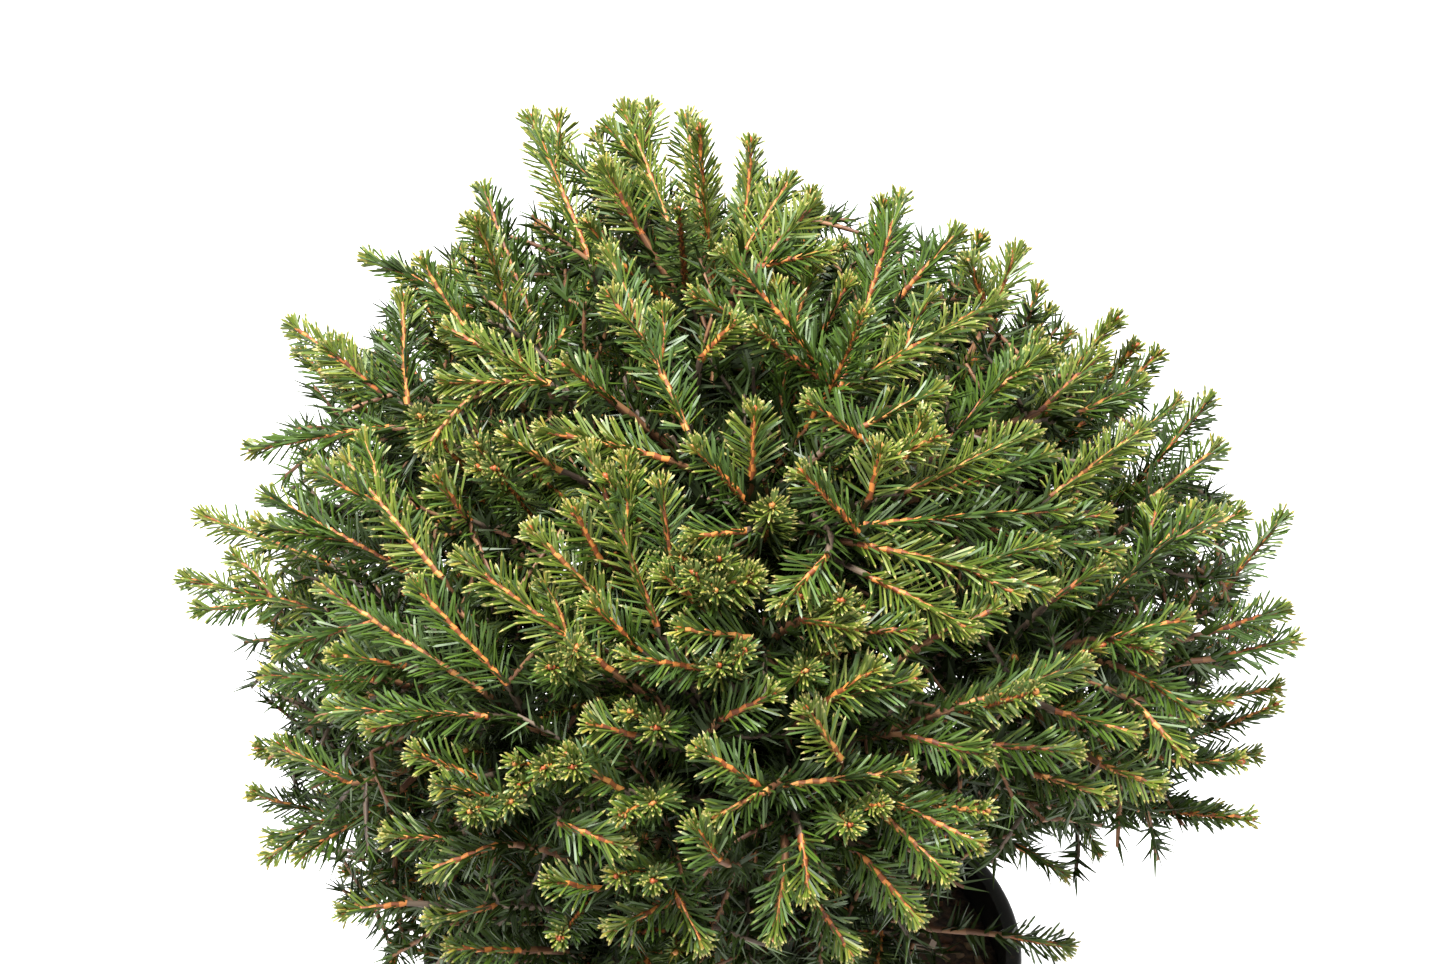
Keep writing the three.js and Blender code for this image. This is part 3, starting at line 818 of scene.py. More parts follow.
# %% [markdown]
# ## The greens
#
# A needle is glossy green above and paler beneath, and its very tip is a blunt pale point. On the
# plant the colour changes from shoot to shoot more than along one: shaded shoots are deep green,
# those in the light fresher, and the youngest needles round a bud are yellow-green. The greens are
# dealt darker the lower and the deeper in the crown a shoot stands, partly that real deep green
# and partly painted shade, and fresher high up and near the outline, partly painted light. One
# material that varied over the crown would have to be baked onto hundreds of thousands of tiny
# faces, and would smear there. So there are several plain greens, and each spray is dealt its own.

# %% Greens, one for each kind of shoot
NEEDLE_ROUGHNESS = 0.47
NEEDLE_GLOSS, SHADE_GLOSS = 0.52, 0.12
# The darker greens stand partly for painted shade low down and deep inside, the fresher ones
# partly for painted light high up.
GREENS = {
    "shade": (34, 46, 10),
    "deep": (45, 65, 14),
    "forest": (66, 91, 21),
    "blue": (66, 90, 38),
    "fresh": (89, 106, 31),
    "lime": (110, 120, 43),
    "gold": (144, 134, 52),
}
# The paler underside comes in a shaded and a lit copy: painted shade under the darker greens,
# painted light under the others.
UNDERSIDES = {"underside_shade": (42, 54, 28), "underside_light": (100, 116, 60)}
SHADE, DEEP, FOREST, BLUE, FRESH, LIME, GOLD = range(len(GREENS))
needle_tops = [
    one_colour(f"needle_{name}", NEEDLE_ROUGHNESS, colour,
               Specular_IOR_Level=SHADE_GLOSS if name == "shade" else NEEDLE_GLOSS)
    for name, colour in GREENS.items()
]
needle_undersides = [
    one_colour(f"needle_{name}", 0.6, colour, Specular_IOR_Level=0.25)
    for name, colour in UNDERSIDES.items()
]
needle_point = one_colour("needle_point", 0.45, (152, 144, 80))
print("greens:", ", ".join(GREENS))

# %% [markdown]
# ## The wood of the twigs
#
# This year's stems are bright orange to tan, and each needle stands on a little paler peg, so
# that the stem looks braided. Older twigs are grey-brown. A braid could be painted on, but its
# pegs catch the light, so they are made as shape, and a pair of colours is dealt to each twig as
# the greens are.

# %% Wood and bud colours
WOODS = {
    "orange": ((122, 62, 22), (194, 120, 54)),
    "tan": ((128, 74, 34), (196, 134, 68)),
    "russet": ((94, 48, 22), (160, 92, 42)),
    "brown": ((96, 62, 38), (128, 90, 58)),
    "grey": ((76, 62, 50), (104, 88, 72)),
}
ORANGE, TAN, RUSSET, BROWN, GREY = range(len(WOODS))
wood_materials = [
    one_colour(f"twig_{name}{part}", 0.6, colour)
    for name, colours in WOODS.items() for part, colour in zip(("", "_peg"), colours)
]
bud_materials = [
    one_colour("bud_red", 0.5, (160, 80, 38)),
    one_colour("bud_tan", 0.55, (184, 120, 62)),
]

# %% [markdown]
# ## Where each needle stands
#
# Needles leave the stem in a spiral, but on a side shoot they bend round until most lie to its
# two sides, like the teeth of a comb, and the stem shows between them. They point forward, more
# steeply towards the tip, and round the bud they stand like a star.
#
# The places are worked out here as plain arrays, one row to a needle: where it starts, which way
# it points, which way its upper face looks, how long it is, which green it has, and how much
# broader than the piece's other needles it is.

# %% Needles at given places along a twig
NEEDLE_LENGTH = 11
NEEDLE_SINKS_IN = 0.7
FACE_UP, FACE_OUT, FACE_UNEVEN = 0.8, 0.45, 0.38
ABOVE_THE_RIM = 1.5
LIGHT_REACHES = (290, 450)
open_rows = {mass["name"]: [] for mass in masses}
shaded_rows = {mass["name"]: [] for mass in masses}


def along_twig(twig, share):
    """Points and axes at shares of a twig's length."""
    steps = np.linspace(0, 1, len(twig["points"]))
    points, *axes = (
        np.stack([np.interp(share, steps, twig[field][:, k]) for k in range(3)], axis=1)
        for field in ("points", "slopes", "upper", "side"))
    return points, *(unit(axis) for axis in axes)


def place_needles(twig, share, round_stem, lean, length, green, broad=1.0):
    """Adds needles at shares of a twig, turned round the stem and leaning from it, in degrees."""
    centre, slope, upper, side = along_twig(twig, share)
    turn, lean = np.radians(round_stem)[:, None], np.radians(lean)[:, None]
    radial = upper * np.cos(turn) + side * np.sin(turn)
    direction = unit(slope * np.cos(lean) + radial * np.sin(lean))
    face = (upper * FACE_UP + radial * FACE_OUT
            + FACE_UNEVEN * chance.standard_normal(direction.shape))
    face = unit(face - (face * direction).sum(1, keepdims=True) * direction)
    radius = np.interp(share, [0, 1], twig["radii"])[:, None]
    start = centre + radial * radius * NEEDLE_SINKS_IN
    end = start + direction * length[:, None]
    keep = end[:, 2] > POT_HEIGHT + ABOVE_THE_RIM
    broad = np.full((len(share), 1), broad)
    row = np.concatenate([start, direction, face, length[:, None], green[:, None], broad], axis=1)
    (open_rows if twig["open"] else shaded_rows)[twig["mass"]["name"]].append(row[keep])


def shadiness(point):
    """0 at the top of the crown and 1 low down, where less light comes.

    The greens are dealt darker by it, which is painted shade, and the needles shorter.
    """
    return float(np.interp(point[2], LIGHT_REACHES, [1, 0]))


# %% The needles of this year's shoots
NEEDLES_PER_MM = 2.75
FEWEST_NEEDLES, FIRST_NEEDLE = 10, 0.02
COMB_TURN, COMB_SPREAD = 88, 26
OVER_SHARE, OVER_TURN, OVER_LEANS_LESS = 0.23, (16, 55), 20
UNDER_FROM, UNDER_TURN = 0.86, (120, 178)
LEAN_AT_FOOT, LEANS_LESS_ALONG, LEAN_WANDER = 60, 18, 7
TIP_ZONE, TIP_LEANS_LESS = 0.8, 8
LENGTH_ALONG = ([0, 0.12, 0.6, 0.85, 1], [0.62, 1, 0.95, 0.78, 0.52])
SHADE_SHORTENS, LENGTH_WANDER = 0.2, (0.86, 1.1)
TINT_WANDERS = 0.25
YOUNG_END, YOUNGEST_END, END_UNEVEN = 8, 3, 5
LIME_AT_THE_END = 0.4


def needles_on_young(twig, tint):
    """Combs needles along a shoot: most to its sides, some over and under, all round its tip."""
    count = max(FEWEST_NEEDLES, int(twig["length"] * NEEDLES_PER_MM))
    share = np.clip((np.arange(count) + chance.rand(count)) / count, FIRST_NEEDLE, 1)
    hand = np.where(np.arange(count) % 2, 1.0, -1.0)
    about = COMB_TURN + COMB_SPREAD * np.clip(chance.standard_normal(count), -2, 2)
    kind = chance.rand(count)
    over, at_the_tip = kind < OVER_SHARE, share > TIP_ZONE
    about = np.where(over, chance.uniform(*OVER_TURN, count), about)
    about = np.where(kind > UNDER_FROM, chance.uniform(*UNDER_TURN, count), about)
    about = np.where(at_the_tip, chance.uniform(0, 180, count), about)
    lean = LEAN_AT_FOOT - LEANS_LESS_ALONG * share + LEAN_WANDER * chance.standard_normal(count)
    lean = lean - np.where(over, OVER_LEANS_LESS, 0)
    lean = np.where(at_the_tip, lean - TIP_LEANS_LESS, lean)
    full = np.interp(share, *LENGTH_ALONG)
    full = full * (1 - SHADE_SHORTENS * shadiness(twig["points"][-1]))
    length = NEEDLE_LENGTH * twig["vigour"] * full * chance.uniform(*LENGTH_WANDER, count)
    green = tint + (chance.rand(count) < TINT_WANDERS) - (chance.rand(count) < TINT_WANDERS)
    to_tip = twig["length"] * (1 - share) + END_UNEVEN * chance.standard_normal(count)
    young_green = FRESH - (chance.rand(count) < LIME_AT_THE_END)
    green = np.where(to_tip < YOUNG_END, np.maximum(green, young_green), green)
    youngest_green = np.where(chance.rand(count) < LIME_AT_THE_END, LIME, FRESH)
    green = np.where(to_tip < YOUNGEST_END, youngest_green, green)
    place_needles(twig, share, hand * about, lean, length, np.clip(green, SHADE, GOLD))


# %% The star of needles round a bud
STAR_NEEDLES = 14
STAR_PLACE = 0.985
STAR_TURN = 137.5
STAR_LEAN, STAR_LEAN_WANDER = (58, 12), 5
STAR_LENGTH = (0.42, 0.6)
STAR_GREENS, STAR_CHANCES = (FRESH, LIME, GOLD), (0.5, 0.32, 0.18)


def star_on_tip(twig):
    """Rings a shoot's tip with short young needles, the inner ones upright."""
    share = np.full(STAR_NEEDLES, STAR_PLACE)
    turn = np.arange(STAR_NEEDLES) * STAR_TURN + 360 * chance.rand()
    lean = np.interp(np.arange(STAR_NEEDLES), [0, STAR_NEEDLES - 1], STAR_LEAN)
    lean = lean + STAR_LEAN_WANDER * chance.standard_normal(STAR_NEEDLES)
    length = NEEDLE_LENGTH * chance.uniform(*STAR_LENGTH, STAR_NEEDLES)
    green = chance.choice(STAR_GREENS, STAR_NEEDLES, p=STAR_CHANCES)
    place_needles(twig, share, turn, lean, length, green)


# %% [markdown]
# ## Needles on the older wood
#
# Last year's needles stand all round their twig, thinner and duller. Deep in the crown no one
# sees them one by one. There fewer and broader ones close the view, and they are dealt the darker
# green the deeper they stand, which is painted shade; near the outline some are a step lighter,
# which is painted light. Near the outline they are as fine as the others, and lean forward at the
# twig's end.

# %% The needles of last year's twigs
OLD_NEEDLES_PER_MM = 1.1
OLD_TURN, OLD_LENGTH, OLD_LEAN_WANDER = (-170, 170), (0.75, 1.0), 8
OLD_LEAN_ALONG = ([0.8, 1], [66, 24])
# What changes with the level in the crown: the levels, and the values there.
CROWDING_AT = ([0.3, 0.5, 0.65, 0.85], [0.5, 0.7, 1.0, 1.35])
# The chance of the shade green grows inwards, which is painted shade; near the outline some
# needles are a step lighter, which is painted light.
DULL_AND_PAINTED_SHADE_AT = ([0.3, 0.85], [0.85, 0.25])
PAINTED_LIGHT_AT = ([0.6, 0.9], [0, 0.4])
BREADTH_AT = ([0.4, 0.6, 0.85], [3.0, 1.8, 0.9])


def needles_on_older(twig):
    middle = twig["points"][len(twig["points"]) // 2]
    level = crown_level(middle)
    crowding, dull_and_painted_shade, light, broad = (
        np.interp(level, *table) for table in (CROWDING_AT, DULL_AND_PAINTED_SHADE_AT, PAINTED_LIGHT_AT, BREADTH_AT))
    count = int(twig["length"] * OLD_NEEDLES_PER_MM * crowding)
    share = chance.rand(count)
    turn = chance.uniform(*OLD_TURN, count)
    lean = np.interp(share, *OLD_LEAN_ALONG) + OLD_LEAN_WANDER * chance.standard_normal(count)
    length = NEEDLE_LENGTH * chance.uniform(*OLD_LENGTH, count)
    # The shade green deep inside is painted shade; the step lighter near the outline is painted
    # light.
    green = np.where(chance.rand(count) < dull_and_painted_shade, SHADE, DEEP) + (chance.rand(count) < light)
    place_needles(twig, share, turn, lean, length, green, broad)


# %% All the needles
IN_THE_OPEN = 0.83
IN_THE_DARK = 0.5
BROWN_SHARE = 0.6
# Lower shoots are dealt the deep green more often, which is painted shade, and higher ones the
# fresh green, which is painted light.
DULL_HIGH_UP, PAINTED_SHADE_LOWER, PAINTED_LIGHT_HIGH_UP = 0.08, 0.66, 0.42
FOREST_PART, BLUE_PART = 0.7, 0.3
YOUNG_WOODS, YOUNG_WOOD_CHANCES = (ORANGE, TAN, RUSSET), (0.5, 0.3, 0.2)


def deal_green(twig):
    """A green for a whole shoot: painted shade makes it darker low down, painted light fresher
    high up.
    """
    shaded = shadiness(twig["points"][-1])
    dull_and_painted_shade, painted_light_share = DULL_HIGH_UP + PAINTED_SHADE_LOWER * shaded, PAINTED_LIGHT_HIGH_UP * (1 - shaded) ** 2
    rest = 1 - dull_and_painted_shade - painted_light_share
    chances = [dull_and_painted_shade, rest * FOREST_PART, rest * BLUE_PART, painted_light_share]
    return int(chance.choice([DEEP, FOREST, BLUE, FRESH], p=chances))


for twig in twigs:
    out = crown_level(twig["points"][-1])
    twig["open"] = twig["age"] == THIS_YEAR and out > IN_THE_OPEN
    if twig["age"] == STEM:
        twig["wood"] = GREY
    elif twig["age"] == LAST_YEAR:
        twig["wood"] = BROWN if chance.rand() < BROWN_SHARE else GREY
        needles_on_older(twig)
    else:
        twig["wood"] = int(chance.choice(YOUNG_WOODS, p=YOUNG_WOOD_CHANCES))
        green = deal_green(twig)
        # Deep inside, this year's shoots all take the shade green, which is painted shade.
        needles_on_young(twig, SHADE if out < IN_THE_DARK else green)
        star_on_tip(twig)
for label, kind in (("needles in the open", open_rows), ("shaded needles", shaded_rows)):
    print(label + ":", sum(len(r) for block in kind.values() for r in block))

# %% [markdown]
# ## Growing meshes from points
#
# Geometry Nodes do the repeating. The script hands a tree a bare mesh of points that carry the
# arrays as attributes. The tree shapes one needle, stands a copy on every point, and makes the
# copies real, because copies that are only instances are lost when the model is exported. Its
# result is then kept as a plain mesh, and the modifier goes.

# %% Points that carry values
def put_in_scene(name, data):
    thing = bpy.data.objects.new(name, data)
    bpy.context.scene.collection.objects.link(thing)
    return thing


def bare_mesh(name, points, edges=(), **carried):
    """Points in metres and edges without faces, with arrays that the points carry under names."""
    mesh = bpy.data.meshes.new(name)
    mesh.vertices.add(len(points))
    mesh.vertices.foreach_set("co", np.asarray(points, np.float32).ravel())
    if len(edges):
        mesh.edges.add(len(edges))
        mesh.edges.foreach_set("vertices", np.asarray(edges, np.int32).ravel())
    for label, values in carried.items():
        kind, field = ("FLOAT_VECTOR", "vector") if np.ndim(values) == 2 else ("FLOAT", "value")
        data = mesh.attributes.new(label, kind, "POINT").data
        data.foreach_set(field, np.asarray(values, np.float32).ravel())
    return put_in_scene(name, mesh)


# %% A tree's start and end, and the mesh it makes
def new_tree(name, sizes):
    """A Geometry Nodes tree with a geometry input and output and named numbers."""
    tree = bpy.data.node_groups.new(name, "GeometryNodeTree")
    tree.interface.new_socket("Geometry", in_out="INPUT", socket_type="NodeSocketGeometry")
    tree.interface.new_socket("Geometry", in_out="OUTPUT", socket_type="NodeSocketGeometry")
    for label, value in sizes.items():
        kind = "NodeSocketInt" if isinstance(value, int) else "NodeSocketFloat"
        tree.interface.new_socket(label, in_out="INPUT", socket_type=kind).default_value = value
    bench = Bench(tree)
    entry = bench.node("NodeGroupInput").socket.node
    wires = {socket.name: Wire(bench, socket) for socket in entry.outputs if socket.name}
    return tree, bench, wires


def end_tree(bench, geometry, rule, materials, smooth=None):
    """Makes copies real, and gives each face the material whose number its rule comes to."""
    real = bench.node("GeometryNodeRealizeInstances", None, {"Geometry": geometry})
    if smooth is not None:
        real = bench.node("GeometryNodeSetShadeSmooth", None,
                          {"Geometry": real, "Shade Smooth": smooth})
    whole = bench.node("FunctionNodeFloatToInt", {"rounding_mode": "ROUND"}, {0: rule})
    for number, material in enumerate(materials):
        chosen = bench.node("FunctionNodeCompare", {"data_type": "INT", "operation": "EQUAL"},
                            {2: whole, 3: number})
        real = bench.node("GeometryNodeSetMaterial", None,
                          {"Geometry": real, "Selection": chosen, "Material": material})
    bench.node("NodeGroupOutput", None, {0: real})


def keep_result(piece):
    """Keeps what a piece's modifier makes of it as a plain mesh, and takes the modifier off."""
    evaluated = piece.evaluated_get(bpy.context.evaluated_depsgraph_get())
    made = bpy.data.meshes.new_from_object(evaluated)
    piece.modifiers.clear()
    bare, piece.data = piece.data, made
    bpy.data.meshes.remove(bare)
    made.name = piece.name


def grow(piece, tree, values):
    """Runs a tree on a piece with values for its named inputs, and keeps the result."""
    modifier = piece.modifiers.new("grow", "NODES")
    modifier.node_group = tree
    for item in tree.interface.items_tree:
        if item.in_out == "INPUT" and item.name in values:
            modifier[item.identifier] = values[item.name]
    keep_result(piece)


def finish_piece(piece, nodes):
    """Hides the solids that a piece stands for, and lets it ride on the plant."""
    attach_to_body(piece, "root")
    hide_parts(*nodes)
    piece.data.calc_loop_triangles()
    print(f"{piece.name}: {len(piece.data.loop_triangles)} triangles")


def masses_in(tier):
    return [mass for mass in masses if mass["tier"] == tier]


def foliage_of(some_masses):
    """The names of the solids of some masses."""
    return [f"foliage_{mass['name']}" for mass in some_masses]


# %% [markdown]
# ## The needle tree
#
# One needle in the open is a slim blade with a low ridge along its upper face. It stays broad
# almost to its end, which is a blunt point. A cone with three sides and two steps has just the
# faces for that: ten triangles. Its middle ring is moved up to the needle's shoulder and widened,
# and its foot is narrowed. In the shade a needle is seen only as a dark line, and there are many
# more of them, so the same tree makes it of one step: a spike of four triangles.

# %% The shape of one needle
LOOKS_DOWN, POINT_FROM = -0.6, 0.8


def needle_shape(bench, wire):
    """A needle one long, with its corners one from its middle, and its faces marked."""
    cone = bench.node("GeometryNodeMeshCone", {"fill_type": "NGON"},
                      {"Vertices": 3, "Side Segments": wire["Steps"], "Radius Top": 0.0,
                       "Radius Bottom": 1.0, "Depth": 1.0})
    x, y, z = bench.parts(bench.node("GeometryNodeInputPosition"))
    middle = 4 * z * (1 - z)
    widen = wire["Foot"] + middle * (2 - wire["Foot"])
    raised = z + middle * (wire["Shoulder"] - 0.5)
    shaped = bench.vector(x * widen, y * widen, raised)
    needle = bench.node("GeometryNodeSetPosition", None, {"Geometry": cone, "Position": shaped})
    normal = bench.parts(bench.node("GeometryNodeInputNormal"))
    height = bench.parts(bench.node("GeometryNodeInputPosition"))[2]
    marks = {"under": bench.compare(normal[0], "LESS_THAN", LOOKS_DOWN),
             "point": bench.compare(height, "GREATER_THAN", POINT_FROM)}
    for name, mark in marks.items():
        needle = bench.store(needle, "FACE", name, mark)
    return needle


def stand_copies(bench, points, shape, size, rotation=None):
    """A copy of a shape on each point, aimed as the points say unless a rotation is given."""
    if rotation is None:
        rotation = bench.node("FunctionNodeAxesToRotation",
                              {"primary_axis": "Z", "secondary_axis": "X"},
                              {"Primary Axis": bench.named("pointing", "FLOAT_VECTOR"),
                               "Secondary Axis": bench.named("facing", "FLOAT_VECTOR")})
    return bench.node("GeometryNodeInstanceOnPoints", None,
                      {"Points": points, "Instance": shape, "Rotation": rotation, "Scale": size})


# %% The needle tree
# A triangle with its corners one from its middle is this broad and this deep.
TRIANGLE_BREADTH, TRIANGLE_DEPTH = math.sqrt(3), 1.5
OPEN_NEEDLE = {"Breadth": 0.00079, "Depth": 0.00066, "Shoulder": 0.86, "Foot": 0.7, "Steps": 2}
SHADED_NEEDLE = {"Breadth": 0.0011, "Depth": 0.0008, "Foot": 1.0, "Steps": 1}


def needle_tree():
    tree, bench, wire = new_tree("needles", OPEN_NEEDLE)
    size = bench.vector(wire["Depth"] * (1 / TRIANGLE_DEPTH),
                        wire["Breadth"] * (1 / TRIANGLE_BREADTH) * bench.named("broad"),
                        bench.named("long"))
    stood = stand_copies(bench, wire["Geometry"], needle_shape(bench, wire), size)
    green, under, point = (bench.named(name) for name in ("green", "under", "point"))
    tops = len(needle_tops)
    # The undersides of the darker greens take the shaded copy, painted shade; the others take the
    # lit copy, painted light.
    light = bench.compare(green, "GREATER_THAN", FOREST - 0.5)
    fresh = bench.compare(green, "GREATER_THAN", FRESH - 0.5)
    sunny = point * fresh
    beneath = under * (1 - sunny)
    rule = (1 - beneath) * (1 - sunny) * green + beneath * (light + tops) + sunny * (tops + 2)
    end_tree(bench, stood, rule, [*needle_tops, *needle_undersides, needle_point])
    return tree


# %% Needles, in pieces that each stand for a few masses
needles = needle_tree()


def needle_piece(name, rows, sizes, served):
    """One piece with the needles of a few masses."""
    block = np.concatenate([row for mass in served for row in rows[mass["name"]]])
    piece = bare_mesh(name, block[:, :3] * MILLIMETRE, pointing=block[:, 3:6],
                      facing=block[:, 6:9], long=block[:, 9] * MILLIMETRE,
                      green=block[:, 10], broad=block[:, 11])
    grow(piece, needles, sizes)
    finish_piece(piece, foliage_of(served))


for tier, near in itertools.product(TIER_NAMES, (True, False)):
    served = [mass for mass in masses_in(tier) if mass["near"] == near]
    needle_piece(f"needles_{tier}_{'near' if near else 'far'}", open_rows, OPEN_NEEDLE, served)
for tier in TIER_NAMES:
    needle_piece(f"shaded_needles_{tier}", shaded_rows, SHADED_NEEDLE, masses_in(tier))

# %% [markdown]
# ## The twig tree
#
# A twig is its own line, given thickness. The line carries a radius, and a number that alternates
# from ring to ring. Curve to Mesh sweeps a four-sided ring along it, and every other corner of
# every other ring is pushed out, which makes the pegs.

# %% The twig tree
TWIG_SIZES = {"Sides": 4, "Peg Height": 0.0005}


def twig_tree():
    tree, bench, wire = new_tree("twigs", TWIG_SIZES)
    curve = bench.node("GeometryNodeMeshToCurve", None, {"Mesh": wire["Geometry"]})
    ring = bench.node("GeometryNodeCurvePrimitiveCircle", None,
                      {"Resolution": wire["Sides"], "Radius": 1.0})
    number = bench.node("GeometryNodeInputIndex")
    ring = bench.store(ring, "POINT", "corner", number)
    swept = bench.node("GeometryNodeCurveToMesh", None,
                       {"Curve": curve, "Profile Curve": ring, "Scale": bench.named("thick"),
                        "Fill Caps": True})
    count = bench.named("corner") + bench.named("ring")
    parity = bench.node("ShaderNodeMath", {"operation": "MODULO"}, {0: count, 1: 2.0})
    push = bench.node("ShaderNodeVectorMath", {"operation": "SCALE"},
                      {"Vector": bench.node("GeometryNodeInputNormal"),
                       "Scale": parity * wire["Peg Height"] * bench.named("pegged")})
    braided = bench.node("GeometryNodeSetPosition", None, {"Geometry": swept, "Offset": push})
    on_peg = bench.compare(parity, "GREATER_EQUAL", 1.0)
    end_tree(bench, braided, 2 * bench.named("wood") + on_peg, wood_materials)
    return tree


# %% Twigs, one piece to a tier
RING_STEP, OLD_RING_STEP = 2.1, 6.5
YOUNG_PEGS, OLD_PEGS = 1.0, 0.6
sweeping = twig_tree()


def twig_piece(tier):
    """One piece with all the twigs of a tier."""
    points, edges, thick, ring, pegged, wood = [], [], [], [], [], []
    for twig in (t for t in twigs if t["mass"]["tier"] == tier):
        count = max(4, int(twig["length"] / (OLD_RING_STEP if twig["age"] else RING_STEP)))
        share = np.linspace(0, 1, count)
        first = len(points)
        points += list(along_twig(twig, share)[0])
        edges += [(first + i, first + i + 1) for i in range(count - 1)]
        thick += list(np.interp(share, [0, 1], twig["radii"]))
        ring += range(count)
        pegged += [OLD_PEGS if twig["age"] else YOUNG_PEGS] * count
        wood += [twig["wood"]] * count
    piece = bare_mesh(f"twigs_{tier}", np.array(points) * MILLIMETRE, edges,
                      thick=np.array(thick) * MILLIMETRE, ring=ring, pegged=pegged, wood=wood)
    grow(piece, sweeping, TWIG_SIZES)
    finish_piece(piece, foliage_of(masses_in(tier)))


for tier in TIER_NAMES:
    twig_piece(tier)

# %% [markdown]
# ## Buds
#
# Every shoot ends in a small orange-red bud, often with two smaller ones beside it. They are the
# dots at the hearts of the needle stars. An egg of twenty triangles is enough for something three
# millimetres long.

# %% The bud tree
BUD_SIZES = {"Bud Length": 0.0034, "Bud Breadth": 0.0021}


def bud_tree():
    tree, bench, wire = new_tree("buds", BUD_SIZES)
    egg = bench.node("GeometryNodeMeshIcoSphere", None, {"Radius": 0.5, "Subdivisions": 1})
    grown = bench.named("grown")
    size = bench.vector(wire["Bud Breadth"] * grown, wire["Bud Breadth"] * grown,
                        wire["Bud Length"] * grown)
    stood = stand_copies(bench, wire["Geometry"], egg, size)
    end_tree(bench, stood, bench.named("tone"), bud_materials, smooth=True)
    return tree


# %% Buds on every shoot
SIDE_BUDS, SIDE_BUD_LEAN, SIDE_BUD_SIZE = 0.6, 48, 0.72
BUD_STANDS_OUT = 1.3
BUD_SIZE_WANDER = (0.85, 1.15)
TAN_BUDS = 0.4
place, pointing_way, facing, grown, tone = [], [], [], [], []
for twig in young_twigs:
    tip, slope, side = twig["points"][-1], twig["slopes"][-1], twig["side"][-1]
    pair = [(SIDE_BUD_LEAN, SIDE_BUD_SIZE), (-SIDE_BUD_LEAN, SIDE_BUD_SIZE)]
    for lean, size in [(0.0, 1.0)] + (pair if chance.rand() < SIDE_BUDS else []):
        way = unit(slope * math.cos(math.radians(lean)) + side * math.sin(math.radians(lean)))
        place.append(tip + way * BUD_STANDS_OUT * size)
        pointing_way.append(way)
        facing.append(twig["upper"][-1])
        grown.append(size * between(*BUD_SIZE_WANDER))
        tone.append(chance.rand() < TAN_BUDS)
piece = bare_mesh("buds", np.array(place) * MILLIMETRE, pointing=pointing_way, facing=facing,
                  grown=grown, tone=tone)
grow(piece, bud_tree(), BUD_SIZES)
finish_piece(piece, foliage_of(masses))

# %% [markdown]
# ## Bark
#
# The trunk and boughs are hidden under the needles from above, but show from low down and between
# the tiers. Young spruce bark is thin and flaky, brown with grey plates. Its relief could be left
# to bump mapping alone, but the trunk's edge is seen against light, so the plates are raised in
# the mesh, and bump adds only the finest grain.

# %% Bark material
def object_place(bench):
    """Where a point is on the object itself, in metres."""
    return bench.node("ShaderNodeTexCoord", None, None, "Object")


def bark_material():
    material, bench, shader = new_material("bark", 0.85)
    place = object_place(bench)
    stretched = bench.node("ShaderNodeMapping", None, {0: place, "Scale": (1, 1, 0.45)})
    plates = bench.node("ShaderNodeTexVoronoi", {"feature": "DISTANCE_TO_EDGE"},
                        {"Vector": stretched, "Scale": 260.0})
    grain = bench.noise(stretched, 620.0, 5.0)
    patches = bench.noise(place, 60.0, 3.0)
    colour = bench.ramp(grain * 0.5 + patches * 0.35 + plates * 1.2,
                        (0.2, (46, 32, 24)), (0.5, (98, 72, 54)), (0.75, (134, 112, 92)))
    bench.feed(shader, Base_Color=colour, Normal=bench.bump(plates * 1.5 + grain, 0.5, 0.0006))
    return material


bark = bark_material()

# %% A limb with raised plates
def round_angles(sides):
    return np.arange(sides) * 2 * math.pi / sides


def tube(line, shares, radius, sides, plates):
    """A closed round limb along a curve, its bark raised in plates that are so many mm thick."""
    slopes = line.slope(shares)
    chord = unit(line.at(1.0) - line.at(0.0))
    hint = np.array([0, 1, 0], float) if chord[2] > 0.9 else UP
    across = unit(np.cross(slopes, hint))
    above = np.cross(across, slopes)
    turn = round_angles(sides)
    relief = chance.rand(len(shares), sides)
    relief = (relief + np.roll(relief, 1, 1) + np.roll(relief, 1, 0)) / 3
    radius = radius + plates * (relief - 0.5)
    sine, cosine = np.sin(turn)[None, :, None], np.cos(turn)[None, :, None]
    outward = across[:, None, :] * sine + above[:, None, :] * cosine
    rings = line.at(shares)[:, None, :] + radius[..., None] * outward
    points = np.concatenate([rings.reshape(-1, 3), line.at(shares[:1]), line.at(shares[-1:])])
    last, foot, top = (len(shares) - 1) * sides, len(points) - 2, len(points) - 1
    sideways = [(j, (j + 1) % sides) for j in range(sides)]
    faces = [(i + j, i + k, i + sides + k, i + sides + j)
             for i in range(0, last, sides) for j, k in sideways]
    for j, k in sideways:
        faces += [(foot, k, j), (top, last + j, last + k)]
    return points, faces


def solid_piece(name, parts, material):
    """Joins parts given as points in millimetres and faces into one piece with outward faces."""
    points, faces = [], []
    for more, shape in parts:
        first = len(points)
        points += list(more)
        faces += [tuple(first + v for v in face) for face in shape]
    mesh = bpy.data.meshes.new(name)
    mesh.from_pydata([tuple(p * MILLIMETRE) for p in np.asarray(points)], [], faces)
    shape = bmesh.new()
    shape.from_mesh(mesh)
    bmesh.ops.recalc_face_normals(shape, faces=shape.faces)
    shape.to_mesh(mesh)
    shape.free()
    mesh.materials.append(material)
    mesh.polygons.foreach_set("use_smooth", [True] * len(mesh.polygons))
    return put_in_scene(name, mesh)


# %% The trunk, with its root flare
TRUNK_BASE_RADIUS = 11
TRUNK_SIDES, TRUNK_RINGS, RINGS_CROWD_THE_FOOT = 44, 90, 1.3
TRUNK_PLATES = 1.1
ROOT_FLARE = 6.5
ROOT_FLARE_FADE = 9.6
ROOT_LOBES = 5
ROOT_LOBE_DEPTH = 0.28


